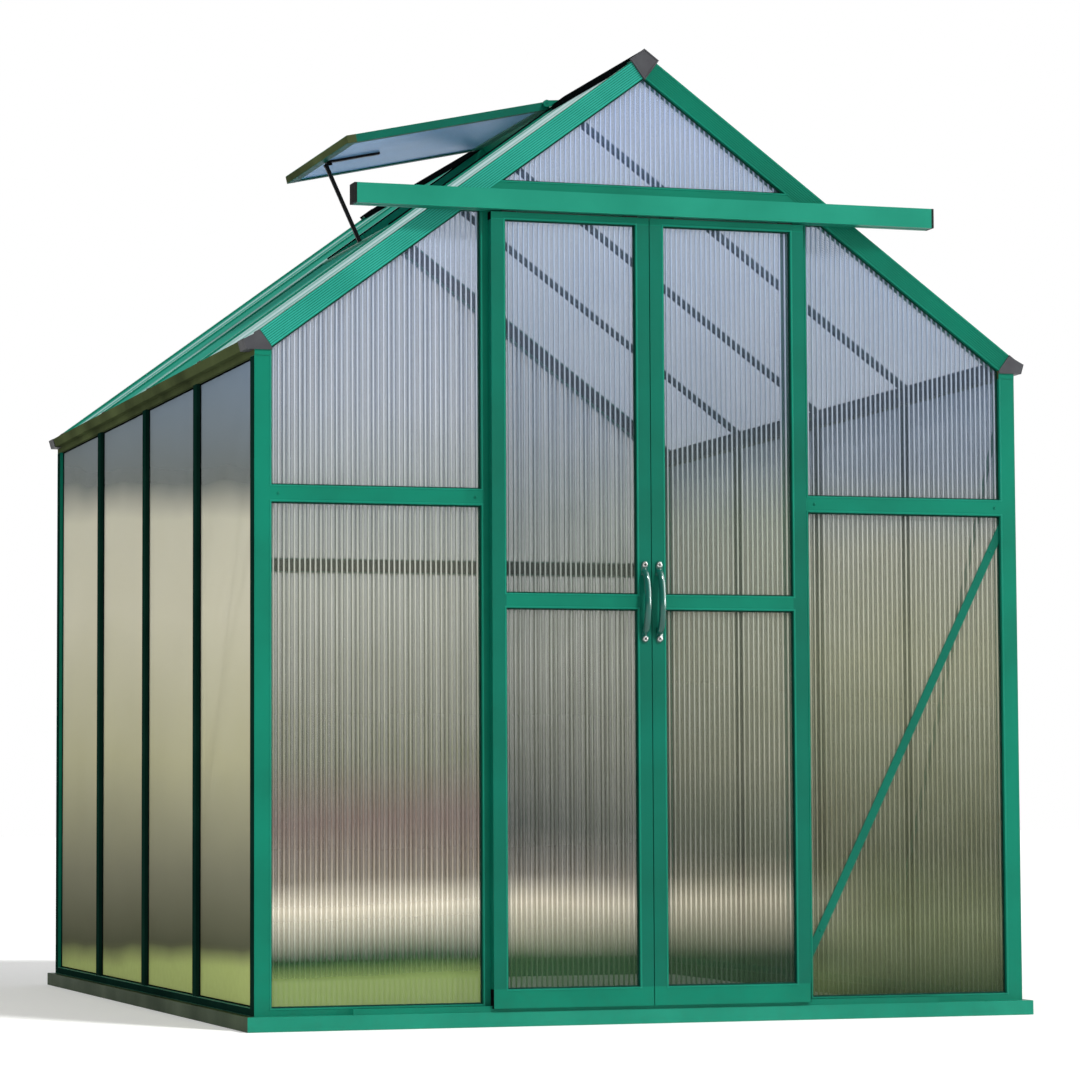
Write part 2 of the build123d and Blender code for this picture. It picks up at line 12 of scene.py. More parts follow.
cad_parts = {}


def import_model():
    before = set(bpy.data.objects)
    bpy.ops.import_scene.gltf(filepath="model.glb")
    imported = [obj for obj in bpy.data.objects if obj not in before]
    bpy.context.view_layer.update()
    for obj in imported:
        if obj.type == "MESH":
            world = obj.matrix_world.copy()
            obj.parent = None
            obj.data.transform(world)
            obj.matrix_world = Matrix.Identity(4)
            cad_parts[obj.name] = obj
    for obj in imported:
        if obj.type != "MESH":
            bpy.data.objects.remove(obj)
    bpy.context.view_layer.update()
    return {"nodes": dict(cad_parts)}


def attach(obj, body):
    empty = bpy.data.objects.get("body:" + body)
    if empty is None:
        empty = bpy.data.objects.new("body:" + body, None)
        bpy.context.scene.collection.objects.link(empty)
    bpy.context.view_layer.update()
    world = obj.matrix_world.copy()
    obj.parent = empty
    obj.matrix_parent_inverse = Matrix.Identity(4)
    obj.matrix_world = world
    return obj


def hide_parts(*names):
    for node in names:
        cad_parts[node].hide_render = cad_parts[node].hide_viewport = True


LOG = logging.getLogger("greenhouse")

Flat = tuple[float, float]
Triple = tuple[float, float, float]
Colour = tuple[float, float, float, float]
Swatch = tuple[int, int, int]
Mesh = bpy.types.Mesh
Socket = bpy.types.NodeSocket
Sockets = bpy.types.bpy_prop_collection
Value = Union[float, tuple, Socket]

TINY = 1e-6
UNIT: Flat = (0.0, 1.0)
WHITE: Colour = (1.0, 1.0, 1.0, 1.0)
X_AXIS, Y_AXIS, Z_AXIS = Vector((1, 0, 0)), Vector((0, 1, 0)), Vector((0, 0, 1))


def paint(*swatch: int) -> Colour:
    """Turn a swatch in display values into a linear colour.

    Args:
        swatch: Red, green and blue from 0 to 255.

    Returns:
        The linear colour with full alpha.
    """
    def linear(level: float) -> float:
        """Linear light of one display level, by the standard display curve."""
        return level / 12.92 if level <= 0.04045 else ((level + 0.055) / 1.055) ** 2.4

    red, green, blue = (linear(value / 255) for value in swatch)
    return (red, green, blue, 1.0)


class Body(str, Enum):
    """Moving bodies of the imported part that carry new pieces."""

    FRAME = "frame"
    LEFT_DOOR = "left_door"
    RIGHT_DOOR = "right_door"
    VENT = "vent"


class Slot(str, Enum):
    """Material slots of the record, named for new pieces."""

    FRAME = "frame_green"
    DOOR = "door_green"
    HANDLE = "handle_green"
    WALL_PANE = "wall_pane"
    ROOF_PANE = "roof_pane"
    DOOR_PANE = "door_pane"
    CAP = "cap_grey"
    RUBBER = "stop_black"
    SCREW = "screw_steel"


class Kind(str, Enum):
    """Kinds of socket in the node groups."""

    COLOUR = "NodeSocketColor"
    NUMBER = "NodeSocketFloat"
    COUNT = "NodeSocketInt"
    VECTOR = "NodeSocketVector"
    OBJECT = "NodeSocketObject"
    MATERIAL = "NodeSocketMaterial"
    GEOMETRY = "NodeSocketGeometry"


class Side(Enum):
    """Left and right half of the house, as the sign of X."""

    LEFT = -1
    RIGHT = 1

    @property
    def word(self) -> str:
        """The side as a word."""
        return self.name.lower()

    def span(self, start: float, end: float) -> Flat:
        """Limits on the house as limits across a panel of this side, in rising order."""
        first, last = sorted((self.value * start, self.value * end))
        return (first, last)


# Frame sizes that the dressing shares with the solids


@dataclass(frozen=True)
class House:
    """Main lines of the greenhouse, in metres."""

    front_y: float = -1.2235
    rear_y: float = 1.2665
    half_width: float = 0.95
    post: float = 0.04
    bar: float = 0.04
    bar_depth: float = 0.025
    roof_bar: float = 0.022
    roof_bar_low: float = 0.026
    eave: float = 1.561
    pitch: float = radians(36.5)
    sill: float = 0.034
    glazing_low: float = 0.052
    wall_top: float = 1.541
    mid_low: float = 1.205
    mid_top: float = 1.244
    jamb_out: float = 0.408
    header_low: float = 1.9
    header_top: float = 1.972
    rear_upright_in: float = 0.363
    rear_upright_out: float = 0.403
    pane_recess: float = 0.011
    pane_depth: float = 0.006
    roof_pane_out: float = 0.043
    roof_pane_overhang: float = 0.026
    rafter_depth: float = 0.048
    bay_count: int = 4
    vent_bay: int = 1
    vent_sill_end: float = 0.556

    @property
    def inner(self) -> float:
        """Half width between the posts."""
        return self.half_width - self.post

    @property
    def apex(self) -> float:
        """Height where the rafters' inner faces meet."""
        return self.eave + self.inner * tan(self.pitch)

    @property
    def rafter_run(self) -> float:
        """Length of a rafter along the slope."""
        return self.inner / cos(self.pitch)

    @property
    def wall_bays(self) -> list[Flat]:
        """Bays between the posts and mullions of the long walls."""
        return self.bays_between(self.bar)

    @property
    def roof_bays(self) -> list[Flat]:
        """Bays between the rafters and bars of the roof."""
        return self.bays_between(self.roof_bar)

    @property
    def roof_bar_lines(self) -> list[Flat]:
        """Start and end in Y of each glazing bar of the roof."""
        bays = self.roof_bays
        return [(end, start) for (_, end), (start, _) in zip(bays, bays[1:])]

    def bays_between(self, bar: float) -> list[Flat]:
        """Start and end in Y of each bay.

        Args:
            bar: Width of the bars between the bays.

        Returns:
            The bays, from the front.
        """
        step = (self.rear_y - self.front_y - self.post) / self.bay_count
        lines = [self.front_y + self.post / 2 + step * i for i in range(1, self.bay_count)]
        starts = [self.front_y + self.post] + [line + bar / 2 for line in lines]
        ends = [line - bar / 2 for line in lines] + [self.rear_y - self.post]
        return list(zip(starts, ends))

    def rafter_line(self, x: float) -> float:
        """Height of the rafters' inner face at a distance from the middle."""
        return self.apex - tan(self.pitch) * abs(x)


HOUSE = House()


# Flat working frames and mesh building


@dataclass(frozen=True)
class Panel:
    """A flat working frame: across, up and out follow the right-hand rule."""

    origin: Vector
    across: Vector
    up: Vector

    @property
    def out(self) -> Vector:
        """Direction away from the house."""
        return self.across.cross(self.up)

    @property
    def turn(self) -> Vector:
        """Euler turn that lays a bar's X across and its Z up the panel."""
        side = self.up.cross(self.across)
        return Vector(Matrix((self.across, side, self.up)).transposed().to_euler())

    def point(self, across: float, up: float, out: float = 0.0) -> Vector:
        """Place of a point, given in the panel's own directions, in the shared frame."""
        return self.origin + self.across * across + self.up * up + self.out * out


FLOOR_PANEL = Panel(Vector((0, 0, 0)), X_AXIS, Y_AXIS)


def gable_panel(y: float, front: bool) -> Panel:
    """Panel in the plane of a gable, facing away from the house."""
    return Panel(Vector((0, y, 0)), Vector((1 if front else -1, 0, 0)), Z_AXIS)


def gable_ends() -> tuple[Panel, Panel]:
    """Panels in the outer faces of the door gable and of the rear gable."""
    return gable_panel(HOUSE.front_y, True), gable_panel(HOUSE.rear_y, False)


def wall_panel(x: float, side: Side) -> Panel:
    """Panel in the plane of a long wall, at a distance from the middle, with Y across."""
    return Panel(Vector((side.value * x, 0, 0)), Vector((0, side.value, 0)), Z_AXIS)


def slope_panel(out: float, side: Side) -> Panel:
    """Panel on a roof slope whose up coordinate is minus the distance down the slope.

    Args:
        out: Distance out from the rafters' inner face.
        side: Slope it belongs to.

    Returns:
        The panel, its across direction along Y.
    """
    up = Vector((-side.value * cos(HOUSE.pitch), 0, sin(HOUSE.pitch)))
    normal = Vector((side.value * sin(HOUSE.pitch), 0, cos(HOUSE.pitch)))
    origin = Vector((0, 0, HOUSE.apex)) + normal * out
    return Panel(origin, Vector((0, side.value, 0)), up)


def rafter_panel(side: Side, face_y: float, facing: float) -> tuple[Panel, int]:
    """Panel along one face of a gable rafter, with the slope as its upward direction.

    Args:
        side: Slope of the rafter.
        face_y: Y of the face.
        facing: -1 for a face that looks to the front, 1 for one that looks to the rear.

    Returns:
        The panel, and 1 where its across direction leaves the roof or -1 where it enters it.
    """
    slope = slope_panel(0.0, side)
    across = slope.up.cross(Vector((0, facing, 0)))
    panel = Panel(Vector((0, face_y, HOUSE.apex)), across, slope.up)
    return panel, 1 if across.dot(slope.out) > 0 else -1


def inset(outline: Sequence[Flat], by: float) -> list[Flat]:
    """Pull the edges of a convex anticlockwise outline inwards.

    Args:
        outline: Corners of the outline.
        by: Distance, negative to push the edges out.

    Returns:
        The corners of the new outline.
    """
    lines = []
    for (x0, y0), (x1, y1) in zip(outline, [*outline[1:], outline[0]]):
        length = hypot(x1 - x0, y1 - y0)
        dx, dy = (x1 - x0) / length, (y1 - y0) / length
        lines.append((x0 - dy * by, y0 + dx * by, dx, dy))
    corners = []
    for (ax, ay, adx, ady), (bx, by_, bdx, bdy) in zip([lines[-1], *lines], lines):
        along = ((bx - ax) * bdy - (by_ - ay) * bdx) / (adx * bdy - ady * bdx)
        corners.append((ax + adx * along, ay + ady * along))
    return corners


def span_at(outline: Sequence[Flat], across: float) -> Flat:
    """Lowest and highest place of a convex outline at one distance across.

    Args:
        outline: Corners of the outline.
        across: Distance across, within the outline.

    Returns:
        The two heights.
    """
    heights = []
    for (x0, y0), (x1, y1) in zip(outline, [*outline[1:], outline[0]]):
        if min(x0, x1) <= across <= max(x0, x1) and abs(x1 - x0) > TINY:
            heights.append(y0 + (y1 - y0) * (across - x0) / (x1 - x0))
    return min(heights), max(heights)


def box_outline(across: Flat, up: Flat) -> list[Flat]:
    """Corners of an upright rectangle, anticlockwise."""
    return [(across[0], up[0]), (across[1], up[0]), (across[1], up[1]), (across[0], up[1])]


def circle(corners: int) -> list[Flat]:
    """Corners round a circle of unit radius, anticlockwise."""
    return [(cos(2 * pi * i / corners), sin(2 * pi * i / corners)) for i in range(corners)]


@dataclass
class MeshSketch:
    """Corners and faces of a piece while it is being built."""

    points: list[Vector] = field(default_factory=list)
    faces: list[tuple[int, ...]] = field(default_factory=list)

    def loop(self, points: Iterable[Vector]) -> list[int]:
        """Add points and give their numbers.

        Args:
            points: Points to add.

        Returns:
            Their numbers, in order.
        """
        start = len(self.points)
        self.points.extend(points)
        return list(range(start, len(self.points)))

    def bridge(self, first: Sequence[int], second: Sequence[int]) -> None:
        """Join two loops of the same length with four-cornered faces.

        Args:
            first: Lower loop, anticlockwise seen from outside the second.
            second: Upper loop.
        """
        count = len(first)
        for i in range(count):
            j = (i + 1) % count
            self.faces.append((first[i], first[j], second[j], second[i]))

    def skin(self, loops: Sequence[Sequence[int]]) -> None:
        """Join loops one after the other and close both ends.

        Args:
            loops: Loops of the same length, from foot to head.
        """
        for first, second in zip(loops, loops[1:]):
            self.bridge(first, second)
        self.faces += [tuple(reversed(loops[0])), tuple(loops[-1])]

    def prism(self, panel: Panel, outline: Sequence[Flat], low: float, high: float) -> None:
        """Add a closed prism that stands on a panel.

        Args:
            panel: Working frame.
            outline: Convex anticlockwise outline.
            low: Distance out where it starts.
            high: Distance out where it ends.
        """
        self.skin([self.loop(panel.point(u, v, out) for u, v in outline) for out in (low, high)])

    def ring(
        self, panel: Panel, outline: Sequence[Flat], edges: Flat, out: Flat, crown: float
    ) -> None:
        """Add a closed mitred ring round an outline.

        Args:
            panel: Working frame.
            outline: Convex anticlockwise outline.
            edges: Inset of the outer and of the inner edge.
            out: Distance out of the foot and of the top.
            crown: How far the top face is drawn in at both edges.
        """
        (outer, inner), (foot, top) = edges, out
        corners = ((outer, foot), (outer + crown, top), (inner - crown, top), (inner, foot))
        loops = [
            self.loop(panel.point(u, v, level) for u, v in inset(outline, by)) for by, level in corners
        ]
        for first, second in zip(loops, [*loops[1:], loops[0]]):
            self.bridge(first, second)

    def turned(self, panel: Panel, rings: Sequence[tuple[Sequence[float], float]]) -> None:
        """Add a shape of closed rings about the middle of a panel.

        Args:
            panel: Working frame.
            rings: Radii round each ring and its distance out, from foot to middle of the top.
        """
        self.skin([
            self.loop(panel.point(r * x, r * y, out) for r, (x, y) in zip(radii, circle(len(radii))))
            for radii, out in rings
        ])

    def sweep(self, path: Sequence[Vector], radius: float, side: Vector, corners: int) -> None:
        """Add a closed round bar along a path.

        Args:
            path: Points along the middle.
            radius: Radius of the bar.
            side: Direction that stays level along the path.
            corners: Corners of the section.
        """
        loops = []
        for i, centre in enumerate(path):
            ahead = (path[min(i + 1, len(path) - 1)] - path[max(i - 1, 0)]).normalized()
            other = ahead.cross(side).normalized()
            section = circle(corners)
            loops.append(self.loop(
                centre + side * (radius * x) + other * (radius * y) for x, y in section
            ))
        self.skin(loops)

    def mesh(self, name: str) -> Mesh:
        """Make the mesh.

        Args:
            name: Name of the mesh.

        Returns:
            The new mesh.
        """
        mesh = bpy.data.meshes.new(name)
        mesh.from_pydata([tuple(point) for point in self.points], [], self.faces)
        mesh.update()
        return mesh


# Node helpers and shared effects


class NodeSketch:
    """Adds and links nodes in one tree."""

    def __init__(self, tree: bpy.types.NodeTree) -> None:
        """Start on a tree."""
        self.tree = tree

    def set(self, socket: Socket, value: Value) -> None:
        """Set or link one input.

        Args:
            socket: The input.
            value: Its value, or the socket that feeds it.
        """
        if isinstance(value, Socket):
            self.tree.links.new(value, socket)
        else:
            socket.default_value = value

    def feed(self, node: bpy.types.Node, values: dict) -> None:
        """Set or link inputs of a node, by name or number."""
        for key, value in values.items():
            self.set(node.inputs[key], value)

    def add(self, kind: str, values: Optional[dict] = None, **settings: object) -> bpy.types.Node:
        """Add a node.

        Args:
            kind: Blender's name of the node type.
            values: Values or sockets for its inputs, by name or number.
            settings: Properties of the node.

        Returns:
            The new node.
        """
        node = self.tree.nodes.new(kind)
        for name, value in settings.items():
            setattr(node, name, value)
        self.feed(node, values or {})
        return node

    def math(self, operation: str, first: Value, second: Value, clamp: bool = False) -> Socket:
        """Add a Math node.

        Args:
            operation: Name of the operation.
            first: First value.
            second: Second value.
            clamp: True to keep the result between 0 and 1.

        Returns:
            The result.
        """
        values = {0: first, 1: second}
        return self.add("ShaderNodeMath", values, operation=operation, use_clamp=clamp).outputs[0]

    def fit(self, value: Value, source: Flat, target: tuple[Value, Value] = UNIT) -> Socket:
        """Map a range onto another, clamped.

        Args:
            value: Value to map.
            source: Start and end of the range it has.
            target: Start and end of the range it gets.

        Returns:
            The result.
        """
        names = ("Value", "From Min", "From Max", "To Min", "To Max")
        values = dict(zip(names, (value, *source, *target)))
        return self.add("ShaderNodeMapRange", values, clamp=True).outputs["Result"]

    def mix(self, share: Value, first: Value, second: Value) -> Socket:
        """Mix two colours.

        Args:
            share: Share of the second colour.
            first: First colour.
            second: Second colour.

        Returns:
            The mixed colour.
        """
        node = self.add("ShaderNodeMix", data_type="RGBA", blend_type="MIX")
        sockets = {socket.identifier: socket for socket in node.inputs}
        for name, value in (("Factor_Float", share), ("A_Color", first), ("B_Color", second)):
            self.set(sockets[name], value)
        return next(socket for socket in node.outputs if socket.identifier == "Result_Color")

    def noise(self, place: Value, scale: Value, detail: float) -> Socket:
        """Noise from 0 to 1, read at coordinates."""
        values = {"Vector": place, "Scale": scale, "Detail": detail}
        return self.add("ShaderNodeTexNoise", values).outputs[0]

    def spot(self) -> Socket:
        """Object coordinates."""
        return self.add("ShaderNodeTexCoord").outputs["Object"]

    def split(self, vector: Socket) -> Sockets:
        """X, Y and Z of a vector."""
        return self.add("ShaderNodeSeparateXYZ", {0: vector}).outputs

    def stretch(self, vector: Socket, by: Value) -> Socket:
        """Multiply a vector by another, part by part."""
        return self.add("ShaderNodeVectorMath", {0: vector, 1: by}, operation="MULTIPLY").outputs[0]

    def seen(self) -> Socket:
        """Mask of camera, glossy and transmission rays.

        Returns:
            1 for those rays and 0 for all others.
        """
        path = self.add("ShaderNodeLightPath").outputs
        direct = self.math("ADD", path["Is Camera Ray"], path["Is Glossy Ray"], clamp=True)
        return self.math("ADD", direct, path["Is Transmission Ray"], clamp=True)


class NodeGroup:
    """A node tree that is built at its first use and found by its name after that."""

    name = ""
    family = "ShaderNodeTree"
    inputs: dict[str, Kind] = {}
    outputs: dict[str, Kind] = {}

    @classmethod
    def tree(cls) -> bpy.types.NodeTree:
        """Give the tree.

        Returns:
            The tree with its named sockets.
        """
        found = bpy.data.node_groups.get(cls.name)
        if found:
            return found
        tree = bpy.data.node_groups.new(cls.name, cls.family)
        for direction, sockets in (("INPUT", cls.inputs), ("OUTPUT", cls.outputs)):
            for name, kind in sockets.items():
                tree.interface.new_socket(name=name, in_out=direction, socket_type=kind.value)
        sketch = NodeSketch(tree)
        made = cls.build(sketch, sketch.add("NodeGroupInput").outputs)
        sketch.add("NodeGroupOutput", made)
        return tree

    @classmethod
    def build(cls, sketch: NodeSketch, given: Sockets) -> dict[str, Socket]:
        """Lay out the nodes and give a socket for each output; each group has its own."""
        raise NotImplementedError


class Effect(NodeGroup):
    """A shader group that several finishes share."""

    @classmethod
    def place(cls, sketch: NodeSketch, *values: Value) -> Sockets:
        """Put the group into a material.

        Args:
            sketch: The material's nodes.
            values: Values or sockets for the group's inputs, in their order.

        Returns:
            The group's outputs.
        """
        group = sketch.add("ShaderNodeGroup", node_tree=cls.tree())
        sketch.feed(group, dict(zip(cls.inputs, values)))
        return group.outputs


class CoatGrain(Effect):
    """Fine grain and broad cloudiness of a sprayed or moulded surface."""

    name = "Coat_Grain"
    inputs = {
        "Paint": Kind.COLOUR, "Cloud": Kind.COLOUR, "Grain Scale": Kind.NUMBER,
        "Cloud Scale": Kind.NUMBER, "Smoothest": Kind.NUMBER, "Roughest": Kind.NUMBER,
    }
    outputs = {"Color": Kind.COLOUR, "Roughness": Kind.NUMBER, "Height": Kind.NUMBER}
    cloud_detail = 4.0
    grain_detail = 2.0
    cloud_range: Flat = (0.32, 0.68)
    rough_range: Flat = (0.12, 0.42)

    @classmethod
    def build(cls, sketch: NodeSketch, given: Sockets) -> dict[str, Socket]:
        """Mix two tones by broad noise and give fine noise as height.

        Args:
            sketch: The group's nodes.
            given: The group's inputs.

        Returns:
            A socket for each output.
        """
        place = sketch.spot()
        cloud = sketch.noise(place, given["Cloud Scale"], cls.cloud_detail)
        grain = sketch.noise(place, given["Grain Scale"], cls.grain_detail)
        colour = sketch.mix(sketch.fit(cloud, cls.cloud_range), given["Paint"], given["Cloud"])
        both = sketch.math("MULTIPLY", cloud, grain)
        rough = sketch.fit(both, cls.rough_range, (given["Smoothest"], given["Roughest"]))
        return {"Color": colour, "Roughness": rough, "Height": grain}


class GroundSplash(Effect):
    """Mask of dust and splashed soil near the ground."""

    name = "Ground_Splash"
    inputs = {"Reach": Kind.NUMBER, "Most": Kind.NUMBER}
    outputs = {"Mask": Kind.NUMBER}
    falloff = 2.0
    speck_scale = 46.0
    speck_detail = 4.0
    speck_range: Flat = (0.40, 0.72)
    speck_share: Flat = (0.25, 1.0)

    @classmethod
    def build(cls, sketch: NodeSketch, given: Sockets) -> dict[str, Socket]:
        """Fade speckled dirt out with height.

        Args:
            sketch: The group's nodes.
            given: The group's inputs.

        Returns:
            A socket for each output.
        """
        place = sketch.spot()
        rise = sketch.math("DIVIDE", sketch.split(place)["Z"], given["Reach"], clamp=True)
        fade = sketch.math("POWER", sketch.math("SUBTRACT", 1.0, rise, clamp=True), cls.falloff)
        dirt = sketch.noise(place, cls.speck_scale, cls.speck_detail)
        speck = sketch.fit(dirt, cls.speck_range, cls.speck_share)
        return {"Mask": sketch.math("MULTIPLY", sketch.math("MULTIPLY", fade, speck), given["Most"])}


class DrawnLines(Effect):
    """Fine lines that drawing or rolling leaves along bare metal."""

    name = "Drawn_Lines"
    inputs = {"Stretch": Kind.VECTOR, "Smoothest": Kind.NUMBER, "Roughest": Kind.NUMBER}
    outputs = {"Roughness": Kind.NUMBER, "Height": Kind.NUMBER}
    scale = 1.0
    detail = 3.0
    line_range: Flat = (0.3, 0.7)

    @classmethod
    def build(cls, sketch: NodeSketch, given: Sockets) -> dict[str, Socket]:
        """Read noise in stretched coordinates.

        Args:
            sketch: The group's nodes.
            given: The group's inputs.

        Returns:
            A socket for each output.
        """
        lines = sketch.noise(sketch.stretch(sketch.spot(), given["Stretch"]), cls.scale, cls.detail)
        rough = sketch.fit(lines, cls.line_range, (given["Smoothest"], given["Roughest"]))
        return {"Roughness": rough, "Height": lines}


class RoofStreaks(Effect):
    """Painted reflection: soft streaks of garden and sky that lie across the roof."""

    name = "Roof_Streaks"
    inputs = {"Garden": Kind.COLOUR, "Sky": Kind.COLOUR}
    outputs = {"Color": Kind.COLOUR}
    slant: Triple = (0.3, 6.0, 0.3)
    scale = 1.0
    detail = 3.0
    fading_y: Flat = (-1.2, -0.4)
    fading: Flat = (0.25, -0.12)
    streak_range: Flat = (0.36, 0.64)

    @classmethod
    def build(cls, sketch: NodeSketch, given: Sockets) -> dict[str, Socket]:
        """Read noise that changes fast along the house and slowly down the slope.

        Args:
            sketch: The group's nodes.
            given: The group's inputs.

        Returns:
            A socket for each output.
        """
        place = sketch.spot()
        nearer = sketch.fit(sketch.split(place)["Y"], cls.fading_y, cls.fading)
        streaks = sketch.noise(sketch.stretch(place, cls.slant), cls.scale, cls.detail)
        share = sketch.fit(sketch.math("ADD", streaks, nearer), cls.streak_range)
        return {"Color": sketch.mix(share, given["Garden"], given["Sky"])}


@dataclass(frozen=True)
class TintBand:
    """Painted reflection at one height: tone of the skins and of the webs, standing for garden and sky,
    and cover of the skins.
    """

    height: float
    skin: Colour
    cover: float
    web: Colour


def tint_bands(*rows: tuple[float, Swatch, float, Swatch]) -> tuple[TintBand, ...]:
    """Turn rows of height, skin swatch, cover and web swatch into bands, from the ground up."""
    return tuple(TintBand(high, paint(*skin), cover, paint(*web)) for high, skin, cover, web in rows)


class SheetTint(Effect):
    """Painted reflection of garden and sky on see-through sheets by height, blended across the house
    between two sets of bands.
    """

    inputs = {"Wander": Kind.NUMBER}
    outputs = {"Color": Kind.COLOUR, "Web": Kind.COLOUR, "Cover": Kind.NUMBER}
    full_height = 2.3
    bands: tuple[TintBand, ...] = ()
    right_bands: tuple[TintBand, ...] = ()
    blend_x: Flat = (-0.40, 0.60)
    fan = 0.0
    fan_height = 0.502
    drift_stretch: Triple = (1.0, 1.0, 2.5)
    drift_scale = 1.6
    drift_detail = 2.0
    drift_middle = 0.5

    @classmethod
    def ramp(
        cls, sketch: NodeSketch, share: Socket, stops: Iterable[tuple[float, Colour]]
    ) -> Socket:
        """Add a ramp through colours at heights.

        Args:
            sketch: The group's nodes.
            share: Height as a share of the full height.
            stops: Heights and colours, from the ground up.

        Returns:
            The ramp's colour.
        """
        stops = list(stops)
        node = sketch.add("ShaderNodeValToRGB", {0: share})
        marks = node.color_ramp.elements
        while len(marks) < len(stops):
            marks.new(1.0)
        for mark, (height, tone) in zip(marks, stops):
            mark.position = height / cls.full_height
            mark.color = tone
        return node.outputs["Color"]

    @classmethod
    def looks(cls, sketch: NodeSketch, share: Socket, bands: Sequence[TintBand]) -> list[Socket]:
        """Read one set of bands.

        Args:
            sketch: The group's nodes.
            share: Height as a share of the full height.
            bands: The bands.

        Returns:
            The skins' tone, the webs' tone and the cover as a grey.
        """
        greys = [(band.cover, band.cover, band.cover, 1.0) for band in bands]
        columns = ([band.skin for band in bands], [band.web for band in bands], greys)
        heights = [band.height for band in bands]
        return [cls.ramp(sketch, share, zip(heights, tones)) for tones in columns]

    @classmethod
    def build(cls, sketch: NodeSketch, given: Sockets) -> dict[str, Socket]:
        """Read the bands at a height that wanders a little across the sheets.

        Args:
            sketch: The group's nodes.
            given: The group's inputs.

        Returns:
            A socket for each output.
        """
        place = sketch.spot()
        parts = sketch.split(place)
        flat = sketch.stretch(place, cls.drift_stretch)
        cloud = sketch.noise(flat, cls.drift_scale, cls.drift_detail)
        drift = sketch.math("SUBTRACT", cloud, cls.drift_middle)
        drift = sketch.math("MULTIPLY", drift, given["Wander"])
        height = parts["Z"]
        if cls.fan:
            spread = sketch.fit(parts["Y"], (HOUSE.front_y, HOUSE.rear_y), (1.0, 1.0 + cls.fan))
            rise = sketch.math("DIVIDE", sketch.math("SUBTRACT", height, cls.fan_height), spread)
            height = sketch.math("ADD", rise, cls.fan_height)
        raised = sketch.math("ADD", height, drift)
        share = sketch.math("DIVIDE", raised, cls.full_height, clamp=True)
        looks = cls.looks(sketch, share, cls.bands)
        if cls.right_bands:
            blend = sketch.fit(parts["X"], cls.blend_x)
            pairs = zip(looks, cls.looks(sketch, share, cls.right_bands))
            looks = [sketch.mix(blend, left, right) for left, right in pairs]
        colour, web, grey = looks
        cover = sketch.add("ShaderNodeRGBToBW", {0: grey}).outputs[0]
        return {"Color": colour, "Web": web, "Cover": cover}


class GableTint(SheetTint):
    """Front gable: painted reflection of grass at the foot, a sunlit path, a stone border and a hedge
    under the sky.
    """

    name = "Gable_Tint"
    bands = tint_bands(
        (0.11, (128, 148, 84), 0.70, (136, 157, 96)),
        (0.157, (22, 64, 32), 0.45, (40, 96, 56)),
        (0.28, (232, 222, 198), 0.36, (255, 252, 242)),
        (0.35, (112, 102, 86), 0.28, (194, 184, 166)),
        (0.48, (120, 102, 94), 0.36, (136, 120, 110)),
        (0.62, (112, 114, 92), 0.22, (144, 144, 122)),
        (1.00, (160, 164, 148), 0.13, (178, 180, 168)),
        (1.18, (140, 148, 138), 0.13, (164, 170, 163)),
        (1.45, (146, 156, 168), 0.16, (190, 198, 208)),
        (2.20, (132, 154, 196), 0.15, (178, 194, 226)),
    )
    right_bands = tint_bands(
        (0.05, (44, 62, 32), 0.64, (56, 72, 42)),
        (0.22, (106, 114, 82), 0.38, (126, 132, 98)),
        (0.40, (90, 96, 72), 0.30, (114, 114, 88)),
        (0.85, (146, 150, 124), 0.24, (168, 168, 144)),
        (1.12, (146, 150, 134), 0.18, (180, 182, 168)),
        (1.32, (114, 126, 140), 0.15, (158, 168, 180)),
        (1.70, (116, 134, 158), 0.15, (154, 170, 192)),
        (2.20, (132, 154, 196), 0.15, (178, 194, 226)),
    )


class DoorTint(SheetTint):
    """Doors: the gable's painted reflection in deeper tones."""

    name = "Door_Tint"
    bands = tint_bands(
        (0.15, (48, 80, 46), 0.55, (70, 102, 64)),
        (0.28, (212, 202, 178), 0.36, (255, 250, 238)),
        (0.35, (88, 84, 76), 0.28, (148, 142, 132)),
        (0.46, (56, 64, 60), 0.34, (78, 84, 80)),
        (0.85, (112, 116, 104), 0.18, (146, 150, 142)),
        (1.17, (82, 94, 95), 0.17, (116, 128, 129)),
        (1.80, (130, 146, 170), 0.16, (166, 182, 206)),
    )
    right_bands = tint_bands(
        (0.16, (14, 36, 22), 0.60, (28, 48, 31)),
        (0.29, (146, 142, 122), 0.30, (200, 194, 174)),
        (0.40, (96, 100, 84), 0.28, (134, 136, 118)),
        (0.61, (136, 138, 116), 0.26, (174, 172, 150)),
        (1.17, (146, 154, 134), 0.20, (184, 192, 174)),
        (1.42, (96, 110, 126), 0.16, (136, 150, 166)),
        (1.80, (128, 144, 168), 0.16, (164, 180, 204)),
    )


class RearTint(SheetTint):
    """Rear gable: painted reflection of the garden behind the house."""

    name = "Rear_Tint"
    bands = tint_bands(
        (0.12, (84, 104, 67), 0.60, (102, 120, 83)),
        (0.22, (200, 190, 168), 0.60, (230, 220, 200)),
        (0.40, (137, 126, 114), 0.60, (155, 144, 132)),
        (0.66, (140, 142, 122), 0.55, (156, 158, 140)),
        (1.10, (180, 184, 170), 0.50, (196, 198, 188)),
        (1.70, (170, 184, 204), 0.45, (194, 206, 224)),
    )


